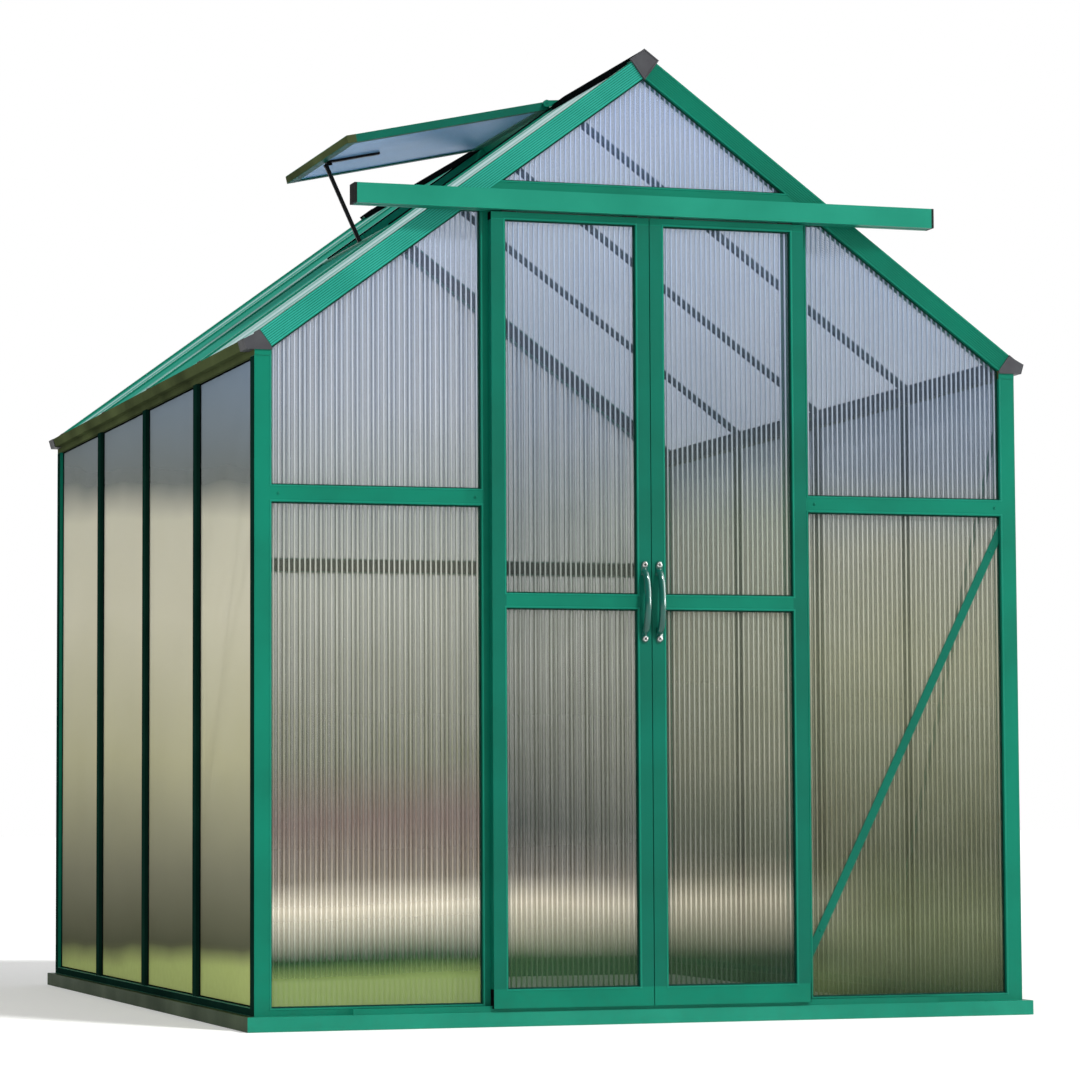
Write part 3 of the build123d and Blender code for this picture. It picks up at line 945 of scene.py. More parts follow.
class WallTint(SheetTint):
    """Left wall: painted reflection of a green foot, a dark border, sand in the middle, slate above."""

    name = "Wall_Tint"
    fan = 0.27
    bands = tint_bands(
        (0.15, (194, 208, 130), 0.58, (198, 211, 138)),
        (0.20, (98, 100, 78), 0.75, (102, 104, 83)),
        (0.36, (144, 143, 120), 0.66, (148, 147, 125)),
        (0.62, (207, 204, 168), 0.50, (210, 207, 173)),
        (0.95, (230, 226, 203), 0.50, (232, 228, 207)),
        (1.16, (226, 223, 203), 0.50, (228, 225, 206)),
        (1.25, (134, 140, 136), 0.56, (139, 145, 141)),
        (1.54, (142, 161, 181), 0.56, (147, 166, 185)),
    )


class FarWallTint(SheetTint):
    """Right wall: painted reflection of sky at the top, then sand, with a shaded foot."""

    name = "Far_Wall_Tint"
    fan = 0.27
    bands = tint_bands(
        (0.06, (84, 104, 66), 0.55, (98, 116, 80)),
        (0.38, (118, 128, 102), 0.55, (132, 140, 116)),
        (0.85, (176, 176, 152), 0.50, (186, 186, 166)),
        (1.12, (184, 184, 168), 0.50, (194, 194, 182)),
        (1.32, (160, 172, 184), 0.50, (174, 184, 194)),
        (1.54, (176, 192, 216), 0.50, (188, 202, 222)),
    )


class RoofTint(SheetTint):
    """Roof slopes: painted reflection of pale sky."""

    name = "Roof_Tint"
    bands = tint_bands(
        (1.50, (206, 216, 234), 0.26, (222, 229, 240)),
        (2.28, (206, 216, 234), 0.26, (222, 229, 240)),
    )


class VentTint(SheetTint):
    """Vent sheet: painted reflection of deeper sky than on the slopes, and a denser cover."""

    name = "Vent_Tint"
    bands = tint_bands(
        (2.00, (188, 204, 226), 0.95, (160, 198, 232)),
        (2.28, (196, 210, 230), 0.95, (170, 204, 236)),
    )


# Finishes


@dataclass(frozen=True)
class Finish:
    """A named finish that makes its material once."""

    name: str

    def material(self) -> bpy.types.Material:
        """Give the material, and build it at the first call.

        Returns:
            The material.
        """
        found = bpy.data.materials.get(self.name)
        if found:
            return found
        material = bpy.data.materials.new(self.name)
        material.use_nodes = True
        material.node_tree.nodes.clear()
        sketch = NodeSketch(material.node_tree)
        shader = sketch.add("ShaderNodeBsdfPrincipled")
        sketch.add("ShaderNodeOutputMaterial", {"Surface": shader.outputs[0]})
        sketch.feed(shader, self.values(sketch))
        return material

    def values(self, sketch: NodeSketch) -> dict[str, Value]:
        """Values and sockets for the shader's inputs; each finish has its own."""
        raise NotImplementedError

    @staticmethod
    def bump(sketch: NodeSketch, height: Value, size: Flat) -> Socket:
        """Add a bump.

        Args:
            sketch: The material's nodes.
            height: Height pattern.
            size: Strength of the bump, and its depth in metres.

        Returns:
            The bumped normal.
        """
        values = {"Height": height, "Strength": size[0], "Distance": size[1]}
        return sketch.add("ShaderNodeBump", values).outputs[0]


@dataclass(frozen=True)
class GrainedFinish(Finish):
    """A surface of two tones with a fine grain: the base of the coats and plastics."""

    coat: Colour
    cloud: Colour
    rough: Flat
    scales: Flat
    relief: Flat
    shine: float

    def values(self, sketch: NodeSketch) -> dict[str, Value]:
        """Grained, slightly uneven surface.

        Args:
            sketch: The material's nodes.

        Returns:
            Values and sockets for the shader's inputs.
        """
        grain = CoatGrain.place(sketch, self.coat, self.cloud, *self.scales, *self.rough)
        return {
            "Base Color": grain["Color"], "Roughness": grain["Roughness"],
            "Specular IOR Level": self.shine,
            "Normal": self.bump(sketch, grain["Height"], self.relief),
        }


@dataclass(frozen=True)
class MouldedPlastic(GrainedFinish):
    """Moulded plastic with a fine spark-eroded grain."""

    rough: Flat = (0.42, 0.62)
    scales: Flat = (700.0, 22.0)
    relief: Flat = (0.25, 0.0006)
    shine: float = 0.35


@dataclass(frozen=True)
class PowderCoat(GrainedFinish):
    """Sprayed and baked coat on the aluminium bars."""

    rough: Flat = (0.34, 0.52)
    scales: Flat = (900.0, 5.0)
    relief: Flat = (0.12, 0.0004)
    shine: float = 0.12
    soil: Colour = paint(52, 58, 42)
    splash: Flat = (0.35, 0.12)

    def values(self, sketch: NodeSketch) -> dict[str, Value]:
        """Grained coat with a little splashed soil near the ground.

        Args:
            sketch: The material's nodes.

        Returns:
            Values and sockets for the shader's inputs.
        """
        values = super().values(sketch)
        soiled = GroundSplash.place(sketch, *self.splash)["Mask"]
        values["Base Color"] = sketch.mix(soiled, values["Base Color"], self.soil)
        return values


@dataclass(frozen=True)
class HandleCoat(GrainedFinish):
    """Dark green enamel under clear varnish on the pull handles."""

    coat: Colour = paint(6, 88, 76)
    cloud: Colour = paint(4, 76, 66)
    rough: Flat = (0.22, 0.32)
    scales: Flat = (1600.0, 30.0)
    relief: Flat = (0.05, 0.0002)
    shine: float = 0.15
    varnish: float = 1.0
    varnish_rough: float = 0.1

    def values(self, sketch: NodeSketch) -> dict[str, Value]:
        """Smooth enamel with a hard glossy coat."""
        coat = {"Coat Weight": self.varnish, "Coat Roughness": self.varnish_rough}
        return {**super().values(sketch), **coat}


@dataclass(frozen=True)
class SheetFace(Finish):
    """Outer skins of the twin-wall polycarbonate sheets, toned with painted reflection."""

    tint: type[SheetTint]
    wander: float = 0.06
    scales: Flat = (260.0, 3.0)
    rough: Flat = (0.12, 0.26)
    shine: float = 0.2
    dust: Flat = (0.30, 0.10)

    def look(self, sketch: NodeSketch) -> tuple[Socket, Socket]:
        """Tone of the skin from the painted reflection, and its cover with a faint film of dust at the
        foot.

        Args:
            sketch: The material's nodes.

        Returns:
            The colour and the alpha.
        """
        tint = self.tint.place(sketch, self.wander)
        film = GroundSplash.place(sketch, *self.dust)["Mask"]
        return tint["Color"], sketch.math("ADD", tint["Cover"], film, clamp=True)

    def values(self, sketch: NodeSketch) -> dict[str, Value]:
        """See-through skin toned with painted reflection, unevenly smooth.

        Args:
            sketch: The material's nodes.

        Returns:
            Values and sockets for the shader's inputs.
        """
        colour, cover = self.look(sketch)
        grain = CoatGrain.place(sketch, colour, colour, *self.scales, *self.rough)
        return {
            "Base Color": colour, "Roughness": grain["Roughness"], "Alpha": cover,
            "Specular IOR Level": self.shine,
        }


@dataclass(frozen=True)
class RoofFace(SheetFace):
    """Skins of the roof, which turn to painted reflection streaks of garden and sky when seen along the
    slope.
    """

    # Painted reflection: colours of the reflected garden and sky.
    garden: Colour = paint(52, 146, 126)
    sky: Colour = paint(190, 212, 214)
    onset: Flat = (0.92, 0.96)

    def look(self, sketch: NodeSketch) -> tuple[Socket, Socket]:
        """Blend the painted reflection streaks in at a grazing view.

        Args:
            sketch: The material's nodes.

        Returns:
            The colour and the alpha.
        """
        colour, cover = super().look(sketch)
        streaks = RoofStreaks.place(sketch, self.garden, self.sky)["Color"]
        facing = sketch.add("ShaderNodeLayerWeight", {"Blend": 0.5}).outputs["Facing"]
        along = sketch.fit(facing, self.onset)
        return sketch.mix(along, colour, streaks), sketch.math("MAXIMUM", cover, along)


@dataclass(frozen=True)
class VentFace(SheetFace):
    """Skins of the vent, with sky light painted onto the faces that look down."""

    # Painted light: pale blue that stands for sky light on the shaded underside.
    glow: Colour = paint(150, 206, 255)
    turning: Flat = (-0.2, 0.2)

    def look(self, sketch: NodeSketch) -> tuple[Socket, Socket]:
        """Turn to the painted sky light on faces that look down.

        Args:
            sketch: The material's nodes.

        Returns:
            The colour and the alpha.
        """
        colour, cover = super().look(sketch)
        normal = sketch.add("ShaderNodeNewGeometry").outputs["True Normal"]
        upward = sketch.fit(sketch.split(normal)["Z"], self.turning)
        return sketch.mix(upward, self.glow, colour), cover


@dataclass(frozen=True)
class SheetWeb(Finish):
    """Upright webs inside the twin-wall sheets."""

    tint: type[SheetTint]
    wander: float = 0.06
    milk: Colour = paint(240, 242, 246)
    milk_share: float = 0.12
    scales: Flat = (300.0, 9.0)
    rough: Flat = (0.30, 0.50)
    shine: float = 0.2

    def values(self, sketch: NodeSketch) -> dict[str, Value]:
        """The webs' painted reflection tone by height, milky in clouds.

        Args:
            sketch: The material's nodes.

        Returns:
            Values and sockets for the shader's inputs.
        """
        tone = self.tint.place(sketch, self.wander)["Web"]
        milky = sketch.mix(self.milk_share, tone, self.milk)
        grain = CoatGrain.place(sketch, tone, milky, *self.scales, *self.rough)
        return {
            "Base Color": grain["Color"], "Roughness": grain["Roughness"],
            "Specular IOR Level": self.shine,
        }


@dataclass(frozen=True)
class BareSteel(Finish):
    """Zinc-plated steel of screws and keys."""

    metal: Colour = paint(196, 198, 196)
    tarnish: Colour = paint(146, 148, 144)
    stretch: Triple = (900.0, 900.0, 60.0)
    drawn: Flat = (0.22, 0.42)
    scales: Flat = (500.0, 40.0)
    rough: Flat = (0.2, 0.4)
    relief: Flat = (0.08, 0.0002)
    plating: float = 0.9

    def values(self, sketch: NodeSketch) -> dict[str, Value]:
        """Plated metal with drawn lines.

        Args:
            sketch: The material's nodes.

        Returns:
            Values and sockets for the shader's inputs.
        """
        lines = DrawnLines.place(sketch, self.stretch, *self.drawn)
        grain = CoatGrain.place(sketch, self.metal, self.tarnish, *self.scales, *self.rough)
        return {
            "Base Color": grain["Color"], "Roughness": lines["Roughness"], "Metallic": self.plating,
            "Normal": self.bump(sketch, lines["Height"], self.relief),
        }


@dataclass(frozen=True)
class FloorPaint(Finish):
    """Pale studio floor, white to the camera apart from the shadow."""

    tone: Colour = (0.86, 0.86, 0.85, 1.0)
    scales: Flat = (40.0, 1.0)
    rough: Flat = (0.8, 0.9)
    lift: float = 0.20

    def values(self, sketch: NodeSketch) -> dict[str, Value]:
        """Matt floor with extra light for camera, glossy and transmission rays only.

        Args:
            sketch: The material's nodes.

        Returns:
            Values and sockets for the shader's inputs.
        """
        grain = CoatGrain.place(sketch, self.tone, self.tone, *self.scales, *self.rough)
        return {
            "Base Color": self.tone, "Roughness": grain["Roughness"], "Specular IOR Level": 0.0,
            "Emission Color": WHITE,
            "Emission Strength": sketch.math("MULTIPLY", sketch.seen(), self.lift),
        }


@dataclass(frozen=True)
class Sheet:
    """Finishes of one set of twin-wall sheets."""

    skin: SheetFace
    web: SheetWeb


def twin_wall(
    name: str, tint: type[SheetTint], shine: float = 0.2, face: type[SheetFace] = SheetFace
) -> Sheet:
    """Make the finishes of one set of sheets.

    Args:
        name: First word of their names.
        reflection: Painted reflection on the sheets by height.
        shine: Specular level of the skins.
        face: Kind of skin.

    Returns:
        The two finishes.
    """
    skin = face(name + "_twin_wall_skin", tint, shine=shine)
    return Sheet(skin, SheetWeb(name + "_twin_wall_web", tint))


FRAME_COAT = PowderCoat("Frame_green_coat", paint(6, 118, 94), paint(3, 105, 83))
# Painted highlight: a lighter green on the sills and door track, whose faces catch the light.
LIT_HIGHLIGHT_COAT = PowderCoat("Bright_green_coat", paint(30, 134, 110), paint(20, 122, 99))
DOOR_COAT = PowderCoat("Door_green_coat", paint(5, 101, 82), paint(3, 90, 72))
# Partly painted highlight: the beads are real, and their lighter green stands for light on the profile
# edges.
TRIM_HIGHLIGHT_COAT = PowderCoat("Trim_green_coat", paint(18, 126, 103), paint(12, 114, 92), rough=(0.28, 0.42))
# Painted highlight: lighter ribs on the left rafters, where the light falls.
RIB_HIGHLIGHT_COAT = PowderCoat("Rib_green_coat", paint(50, 164, 146), paint(38, 149, 131))
# Painted shade: near-black green for the bars on the shaded sides and the covers over them.
SHADE_SIDE_COAT = PowderCoat("Side_bar_green_coat", paint(14, 44, 36), paint(9, 34, 28), shine=0.0)
# Painted shade: dark olive for the gutters and the vent's lower rail trim.
GUTTER_SHADE_COAT = PowderCoat("Gutter_green_coat", paint(80, 90, 58), paint(58, 66, 43), shine=0.0)
# Painted shade: dark olive for the side sills.
LEDGE_SHADE_COAT = PowderCoat("Side_sill_green_coat", paint(58, 76, 48), paint(42, 58, 38), shine=0.03)
HANDLE_COAT = HandleCoat("Handle_green_gloss")
GABLE_SHEET = twin_wall("Gable", GableTint)
DOOR_SHEET = twin_wall("Door", DoorTint)
REAR_SHEET = twin_wall("Rear", RearTint)
WALL_SHEET = twin_wall("Wall", WallTint, 0.0)
FAR_WALL_SHEET = twin_wall("Far_wall", FarWallTint, 0.05)
ROOF_SHEET = twin_wall("Roof", RoofTint, 0.0, RoofFace)
VENT_SHEET = twin_wall("Vent", VentTint, 0.05, VentFace)
CAP_PLASTIC = MouldedPlastic("Cap_grey_plastic", paint(66, 67, 70), paint(54, 54, 58), shine=0.2)
RUBBER = MouldedPlastic(
    "Seal_black_rubber", paint(12, 16, 17), paint(7, 10, 11), (0.55, 0.75), shine=0.0
)
GREEN_RUBBER = MouldedPlastic(
    "Seal_green_rubber", paint(18, 62, 51), paint(12, 48, 40), (0.5, 0.7), shine=0.1
)
STOP_PLASTIC = MouldedPlastic(
    "Stop_black_plastic", paint(16, 19, 19), paint(10, 12, 12), (0.4, 0.55), shine=0.1
)
ROLLER_PLASTIC = MouldedPlastic(
    "Roller_white_plastic", paint(224, 224, 218), paint(206, 206, 198), (0.3, 0.45),
    relief=(0.25, 0.0002),
)
STAY_PAINT = MouldedPlastic(
    "Stay_black_paint", paint(14, 15, 16), paint(8, 9, 10), (0.3, 0.45),
    relief=(0.25, 0.0003), shine=0.15,
)
HANGER_PAINT = MouldedPlastic(
    "Hanger_black_paint", paint(24, 26, 26), paint(15, 17, 17), (0.45, 0.6), relief=(0.25, 0.0003)
)
STEEL = BareSteel("Plated_steel")
# Painted shade: dark steel filling the bottoms of the screw recesses.
RECESS_SHADE_STEEL = BareSteel("Recess_dark_steel", paint(26, 26, 26), paint(14, 14, 14))
FLOOR = FloorPaint("Studio_floor")


@dataclass
class Workshop:
    """Puts finished meshes into the scene and keeps the list of CAD nodes."""

    nodes: dict[str, bpy.types.Object]

    def place(
        self, mesh: Mesh, body: Body, slot: Slot, finish: Finish, replaces: Sequence[str] = (),
        smooth: bool = False,
    ) -> None:
        """Turn a mesh into a piece of the same name that rides on a body.

        Args:
            mesh: Its mesh, in the shared frame.
            body: Body that carries it.
            slot: Material slot of the record; not used.
            finish: Its finish.
            replaces: CAD nodes that it stands for.
            smooth: True for rounded shading.
        """
        mesh.materials.clear()
        mesh.materials.append(finish.material())
        if smooth:
            mesh.shade_smooth()
        piece = bpy.data.objects.new(mesh.name, mesh)
        bpy.context.scene.collection.objects.link(piece)
        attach(piece, body.value)
        if replaces:
            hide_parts(*replaces)
        LOG.info("%s on %s: %d faces", piece.name, body.value, len(mesh.polygons))

    def dress(self, finish: Finish, *names: str) -> None:
        """Give CAD nodes a finish.

        Args:
            finish: The finish.
            names: Names of the nodes.
        """
        material = finish.material()
        for name in names:
            node = self.nodes[name]
            if not node.material_slots:
                node.data.materials.append(material)
            for slot in node.material_slots:
                slot.material = material
            LOG.info("%s dressed with %s", name, material.name)


# Geometry Nodes trees


class RowTree(NodeGroup):
    """Geometry Nodes tree that sets something on every point and is baked to a plain mesh."""

    family = "GeometryNodeTree"
    outputs = {"Geometry": Kind.GEOMETRY}

    @staticmethod
    def solid(sketch: NodeSketch, given: Sockets, instances: Socket) -> dict[str, Socket]:
        """Make instances real and give them their finish.

        Args:
            sketch: The tree's nodes.
            given: The tree's inputs.
            instances: The instances.

        Returns:
            A socket for each output.
        """
        real = sketch.add("GeometryNodeRealizeInstances", {"Geometry": instances}).outputs[0]
        values = {"Geometry": real, "Material": given["Finish"]}
        return {"Geometry": sketch.add("GeometryNodeSetMaterial", values).outputs[0]}

    @classmethod
    def bake(
        cls, name: str, points: Sequence[Vector], values: dict[str, object], runs: Sequence[float] = ()
    ) -> Mesh:
        """Run the tree on points and keep the result as a plain mesh.

        Args:
            name: Name of the mesh.
            points: Where the instances stand.
            values: Values of the tree's inputs, by name.
            runs: Length of the bar at each point, where the tree reads it.

        Returns:
            The finished mesh.
        """
        seed = bpy.data.meshes.new(name + "_points")
        seed.from_pydata([tuple(point) for point in points], [], [])
        if runs:
            seed.attributes.new("run", "FLOAT", "POINT").data.foreach_set("value", list(runs))
        holder = bpy.data.objects.new(name + "_points", seed)
        tree = cls.tree()
        modifier = holder.modifiers.new(cls.name, "NODES")
        modifier.node_group = tree
        for item in tree.interface.items_tree:
            if item.in_out == "INPUT" and item.name in values:
                modifier[item.identifier] = values[item.name]
        bpy.context.scene.collection.objects.link(holder)
        graph = bpy.context.evaluated_depsgraph_get()
        mesh = bpy.data.meshes.new_from_object(holder.evaluated_get(graph))
        mesh.name = name
        holder.modifiers.remove(modifier)
        bpy.data.objects.remove(holder)
        bpy.data.meshes.remove(seed)
        return mesh


class BarRows(RowTree):
    """Stands a slim bar of its own length on every point."""

    name = "Bar_Rows"
    inputs = {
        "Points": Kind.GEOMETRY, "Bar Width": Kind.NUMBER, "Bar Depth": Kind.NUMBER,
        "Turn": Kind.VECTOR, "Finish": Kind.MATERIAL,
    }

    @classmethod
    def build(cls, sketch: NodeSketch, given: Sockets) -> dict[str, Socket]:
        """Scale a unit bar by the sizes and by the run stored on each point.

        Args:
            sketch: The tree's nodes.
            given: The tree's inputs.

        Returns:
            A socket for each output.
        """
        cube = sketch.add("GeometryNodeMeshCube", {"Size": (1.0, 1.0, 1.0)}).outputs["Mesh"]
        standing = {"Geometry": cube, "Translation": (0.0, 0.0, 0.5)}
        bar = sketch.add("GeometryNodeTransform", standing).outputs[0]
        stored = sketch.add("GeometryNodeInputNamedAttribute", {"Name": "run"}, data_type="FLOAT")
        sizes = {0: given["Bar Width"], 1: given["Bar Depth"], 2: stored.outputs[0]}
        size = sketch.add("ShaderNodeCombineXYZ", sizes).outputs[0]
        turn = sketch.add("FunctionNodeEulerToRotation", {0: given["Turn"]}).outputs[0]
        bars = sketch.add("GeometryNodeInstanceOnPoints", {
            "Points": given["Points"], "Instance": bar, "Rotation": turn, "Scale": size,
        })
        return cls.solid(sketch, given, bars.outputs[0])


class ScrewSet(RowTree):
    """Sets a pan-head screw on every point, each turned its own way."""

    name = "Screw_Set"
    inputs = {
        "Points": Kind.GEOMETRY, "Screw": Kind.OBJECT, "Head Radius": Kind.NUMBER,
        "Turn": Kind.VECTOR, "Seed": Kind.COUNT, "Finish": Kind.MATERIAL,
    }

    @classmethod
    def build(cls, sketch: NodeSketch, given: Sockets) -> dict[str, Socket]:
        """Instance the screw and twist each one about its own axis.

        Args:
            sketch: The tree's nodes.
            given: The tree's inputs.

        Returns:
            A socket for each output.
        """
        screw = sketch.add("GeometryNodeObjectInfo", {"Object": given["Screw"]}).outputs["Geometry"]
        turn = sketch.add("FunctionNodeEulerToRotation", {0: given["Turn"]}).outputs[0]
        placed = sketch.add("GeometryNodeInstanceOnPoints", {
            "Points": given["Points"], "Instance": screw, "Rotation": turn,
            "Scale": given["Head Radius"],
        }).outputs[0]
        twist = sketch.add("FunctionNodeRandomValue", {"Seed": given["Seed"]}, data_type="FLOAT")
        most = next(socket for socket in twist.inputs if socket.identifier == "Max_001")
        most.default_value = pi
        angle = next(socket for socket in twist.outputs if socket.identifier == "Value_001")
        axis = sketch.add("ShaderNodeCombineXYZ", {2: angle}).outputs[0]
        spin = sketch.add("FunctionNodeEulerToRotation", {0: axis}).outputs[0]
        turned = sketch.add("GeometryNodeRotateInstances", {"Instances": placed, "Rotation": spin})
        return cls.solid(sketch, given, turned.outputs[0])


@dataclass
class ScrewMaker:
    """Pan-head screw with a cross recess, of unit head radius, and sets of it."""

    corners: int = 24
    dome: tuple[Flat, ...] = ((1.0, 0.0), (1.0, 0.18), (0.92, 0.34), (0.74, 0.46))
    recess_arm: float = 0.62
    recess_half: float = 0.17
    recess_floor: float = 0.10
    recess_taper: float = 0.8
    fill_depth: float = 0.14
    fill_taper: Flat = (0.86, 0.90)
    seed: int = 7

    def cross(self, scale: float) -> list[float]:
        """Radii of a cross round the axis.

        Args:
            scale: Size of the cross.

        Returns:
            One radius for each corner.
        """
        radii = []
        for x, y in circle(self.corners):
            x, y = abs(x) + TINY, abs(y) + TINY
            level = min(self.recess_arm / x, self.recess_half / y)
            upright = min(self.recess_half / x, self.recess_arm / y)
            radii.append(max(level, upright) * scale)
        return radii

    def pattern(self, recess: bool) -> bpy.types.Object:
        """Build the unit screw head, or the dark fill that paints shade at the bottom of its recess.

        Args:
            recess: True for the shade fill at the bottom of the recess.

        Returns:
            A helper object that the sets copy.
        """
        floor = self.recess_floor
        if recess:
            levels = (floor, floor + self.fill_depth)
            rings = [(self.cross(scale), level) for scale, level in zip(self.fill_taper, levels)]
        else:
            rings = [([radius] * self.corners, out) for radius, out in self.dome]
            rings += [(self.cross(1.0), self.dome[-1][1]), (self.cross(self.recess_taper), floor)]
        sketch = MeshSketch()
        sketch.turned(FLOOR_PANEL, rings)
        return bpy.data.objects.new("Screw_pattern", sketch.mesh("Screw_pattern"))

    def bake(
        self, name: str, points: Sequence[Vector], out: Vector, radius: float, finish: Finish,
        recess: bool = False,
    ) -> Mesh:
        """Make one set of screws that all face one way.

        Args:
            name: Name of the mesh.
            points: Seats of the heads.
            out: Direction that the heads face.
            radius: Radius of a head.
            finish: Their finish.
            recess: True for the shade fills at the bottoms of their recesses.

        Returns:
            The mesh of all the heads or recesses.
        """
        pattern = self.pattern(recess)
        bpy.context.scene.collection.objects.link(pattern)
        turn = Vector(Z_AXIS.rotation_difference(out).to_euler())
        mesh = ScrewSet.bake(name, points, {
            "Screw": pattern, "Head Radius": radius, "Turn": turn, "Seed": self.seed,
            "Finish": finish.material(),
        })
        bpy.data.objects.remove(pattern)
        return mesh


# Glazing


@dataclass
class Pane:
    """One sheet: its outer face lies in a panel, inside an outline."""

    panel: Panel
    outline: list[Flat]


@dataclass
class Glazing:
    """Twin-wall webs, gaskets and glazing beads of a set of panes."""

    workshop: Workshop
    web_pitch: float = 0.0125
    web_thickness: float = 0.003
    skin: float = 0.0007
    gasket_width: float = 0.0035
    gasket_height: float = 0.0025
    gasket_crown: float = 0.0006
    bead_width: float = 0.0045
    bead_height: float = 0.0009
    bead_crown: float = 0.0008

    def webs(self, name: str, panes: Sequence[Pane], body: Body, slot: Slot, finish: SheetWeb) -> None:
        """Stand the upright webs inside panes that share one panel direction.

        Args:
            name: Name of the piece.
            panes: The panes.
            body: Body that carries them.
            slot: Material slot of the record.
            finish: Finish of the webs.
        """
        points, runs = [], []
        for pane in panes:
            sides = [across for across, _ in pane.outline]
            count = int((max(sides) - min(sides)) / self.web_pitch)
            start = (min(sides) + max(sides) - (count - 1) * self.web_pitch) / 2
            for i in range(count):
                across = start + i * self.web_pitch
                low, high = span_at(pane.outline, across)
                if high - low > self.web_pitch:
                    points.append(pane.panel.point(across, low + self.skin, -HOUSE.pane_depth / 2))
                    runs.append(high - low - 2 * self.skin)
        mesh = BarRows.bake(name, points, {
            "Bar Width": self.web_thickness, "Bar Depth": HOUSE.pane_depth - 2 * self.skin,
            "Turn": panes[0].panel.turn, "Finish": finish.material(),
        }, runs)
        self.workshop.place(mesh, body, slot, finish)

    def gaskets(self, name: str, panes: Sequence[Pane], body: Body, finish: MouldedPlastic) -> None:
        """Press a gasket into the edge of each pane.

        Args:
            name: Name of the piece.
            panes: The panes.
            body: Body that carries them.
            finish: Finish of the gaskets.
        """
        sketch = MeshSketch()
        edges, out = (0.0, self.gasket_width), (0.0, self.gasket_height)
        for pane in panes:
            sketch.ring(pane.panel, pane.outline, edges, out, self.gasket_crown)
        self.workshop.place(sketch.mesh(name), body, Slot.RUBBER, finish)

    def beads(self, name: str, panes: Sequence[Pane], recess: float, body: Body, slot: Slot) -> None:
        """Lay a raised bead on the bars round each pane, in a lighter coat that paints a highlight on
        the edge.

        Args:
            name: Name of the piece.
            panes: The panes.
            recess: Depth of the panes behind the bars' faces.
            body: Body that carries them.
            slot: Material slot of the record.
        """
        sketch = MeshSketch()
        edges, out = (-self.bead_width, 0.0), (recess, recess + self.bead_height)
        for pane in panes:
            sketch.ring(pane.panel, pane.outline, edges, out, self.bead_crown)
        self.workshop.place(sketch.mesh(name), body, slot, TRIM_HIGHLIGHT_COAT)


@dataclass
class Gables:
    """Glazing of the door gable and of the rear gable."""

    glazing: Glazing
    workshop: Workshop

    def front_panes(self) -> list[Pane]:
        """Panes beside and above the doors.

        Returns:
            The five panes.
        """
        slope = tan(HOUSE.pitch)
        foot = (HOUSE.apex - HOUSE.header_low) / slope
        head = (HOUSE.apex - HOUSE.header_top) / slope
        lower = box_outline((HOUSE.jamb_out, HOUSE.inner), (HOUSE.glazing_low, HOUSE.mid_low))
        upper = [
            (HOUSE.jamb_out, HOUSE.mid_top), (HOUSE.inner, HOUSE.mid_top), (HOUSE.inner, HOUSE.eave),
            (foot, HOUSE.header_low), (HOUSE.jamb_out, HOUSE.header_low),
        ]
        peak = [(-head, HOUSE.header_top), (head, HOUSE.header_top), (0.0, HOUSE.apex)]
        outlines = [lower, self.flipped(lower), upper, self.flipped(upper), peak]
        panel = gable_panel(HOUSE.front_y + HOUSE.pane_recess, True)
        return [Pane(panel, outline) for outline in outlines]

    def rear_panes(self) -> list[Pane]:
        """Panes of the rear gable.

        Returns:
            The six panes.
        """
        inside, outside = HOUSE.rear_upright_in, HOUSE.rear_upright_out
        up = (HOUSE.glazing_low, HOUSE.mid_low)
        lower = box_outline((outside, HOUSE.inner), up)
        upper = [
            (outside, HOUSE.mid_top), (HOUSE.inner, HOUSE.mid_top),
            (HOUSE.inner, HOUSE.eave), (outside, HOUSE.rafter_line(outside)),
        ]
        lower_middle = box_outline((-inside, inside), up)
        upper_middle = [
            (-inside, HOUSE.mid_top), (inside, HOUSE.mid_top), (inside, HOUSE.rafter_line(inside)),
            (0.0, HOUSE.apex), (-inside, HOUSE.rafter_line(inside)),
        ]
        outlines = [
            lower, self.flipped(lower), lower_middle, upper, self.flipped(upper), upper_middle,
        ]
        panel = gable_panel(HOUSE.rear_y - HOUSE.pane_recess, False)
        return [Pane(panel, outline) for outline in outlines]

    @staticmethod
    def flipped(outline: Sequence[Flat]) -> list[Flat]:
        """Mirror an outline across the middle and keep it anticlockwise."""
        return [(-across, up) for across, up in reversed(outline)]

    def build(self) -> None:
        """Dress both gables."""
        for name, panes, sheet in (
            ("front", self.front_panes(), GABLE_SHEET), ("rear", self.rear_panes(), REAR_SHEET),
        ):
            gable = name + "_gable"
            self.glazing.webs(gable + "_webs", panes, Body.FRAME, Slot.WALL_PANE, sheet.web)
            self.glazing.gaskets(gable + "_gaskets", panes, Body.FRAME, GREEN_RUBBER)
            self.glazing.beads(gable + "_beads", panes, HOUSE.pane_recess, Body.FRAME, Slot.FRAME)
            self.workshop.dress(sheet.skin, name + "_panes")


@dataclass
class LongWalls:
    """Glazing of the two long walls."""

    glazing: Glazing
    workshop: Workshop

    def panes(self, side: Side) -> list[Pane]:
        """Panes of one long wall.

        Args:
            side: Wall to glaze.

        Returns:
            One pane for each bay.
        """
        panel = wall_panel(HOUSE.half_width - HOUSE.pane_recess, side)
        up = (HOUSE.glazing_low, HOUSE.wall_top)
        return [Pane(panel, box_outline(side.span(*bay), up)) for bay in HOUSE.wall_bays]

    def build(self) -> None:
        """Dress both walls."""
        for side, sheet in ((Side.LEFT, WALL_SHEET), (Side.RIGHT, FAR_WALL_SHEET)):
            name = side.word + "_wall"
            panes = self.panes(side)
            self.glazing.webs(name + "_webs", panes, Body.FRAME, Slot.WALL_PANE, sheet.web)
            self.glazing.gaskets(name + "_gaskets", panes, Body.FRAME, RUBBER)
            self.workshop.dress(sheet.skin, name + "_panes")


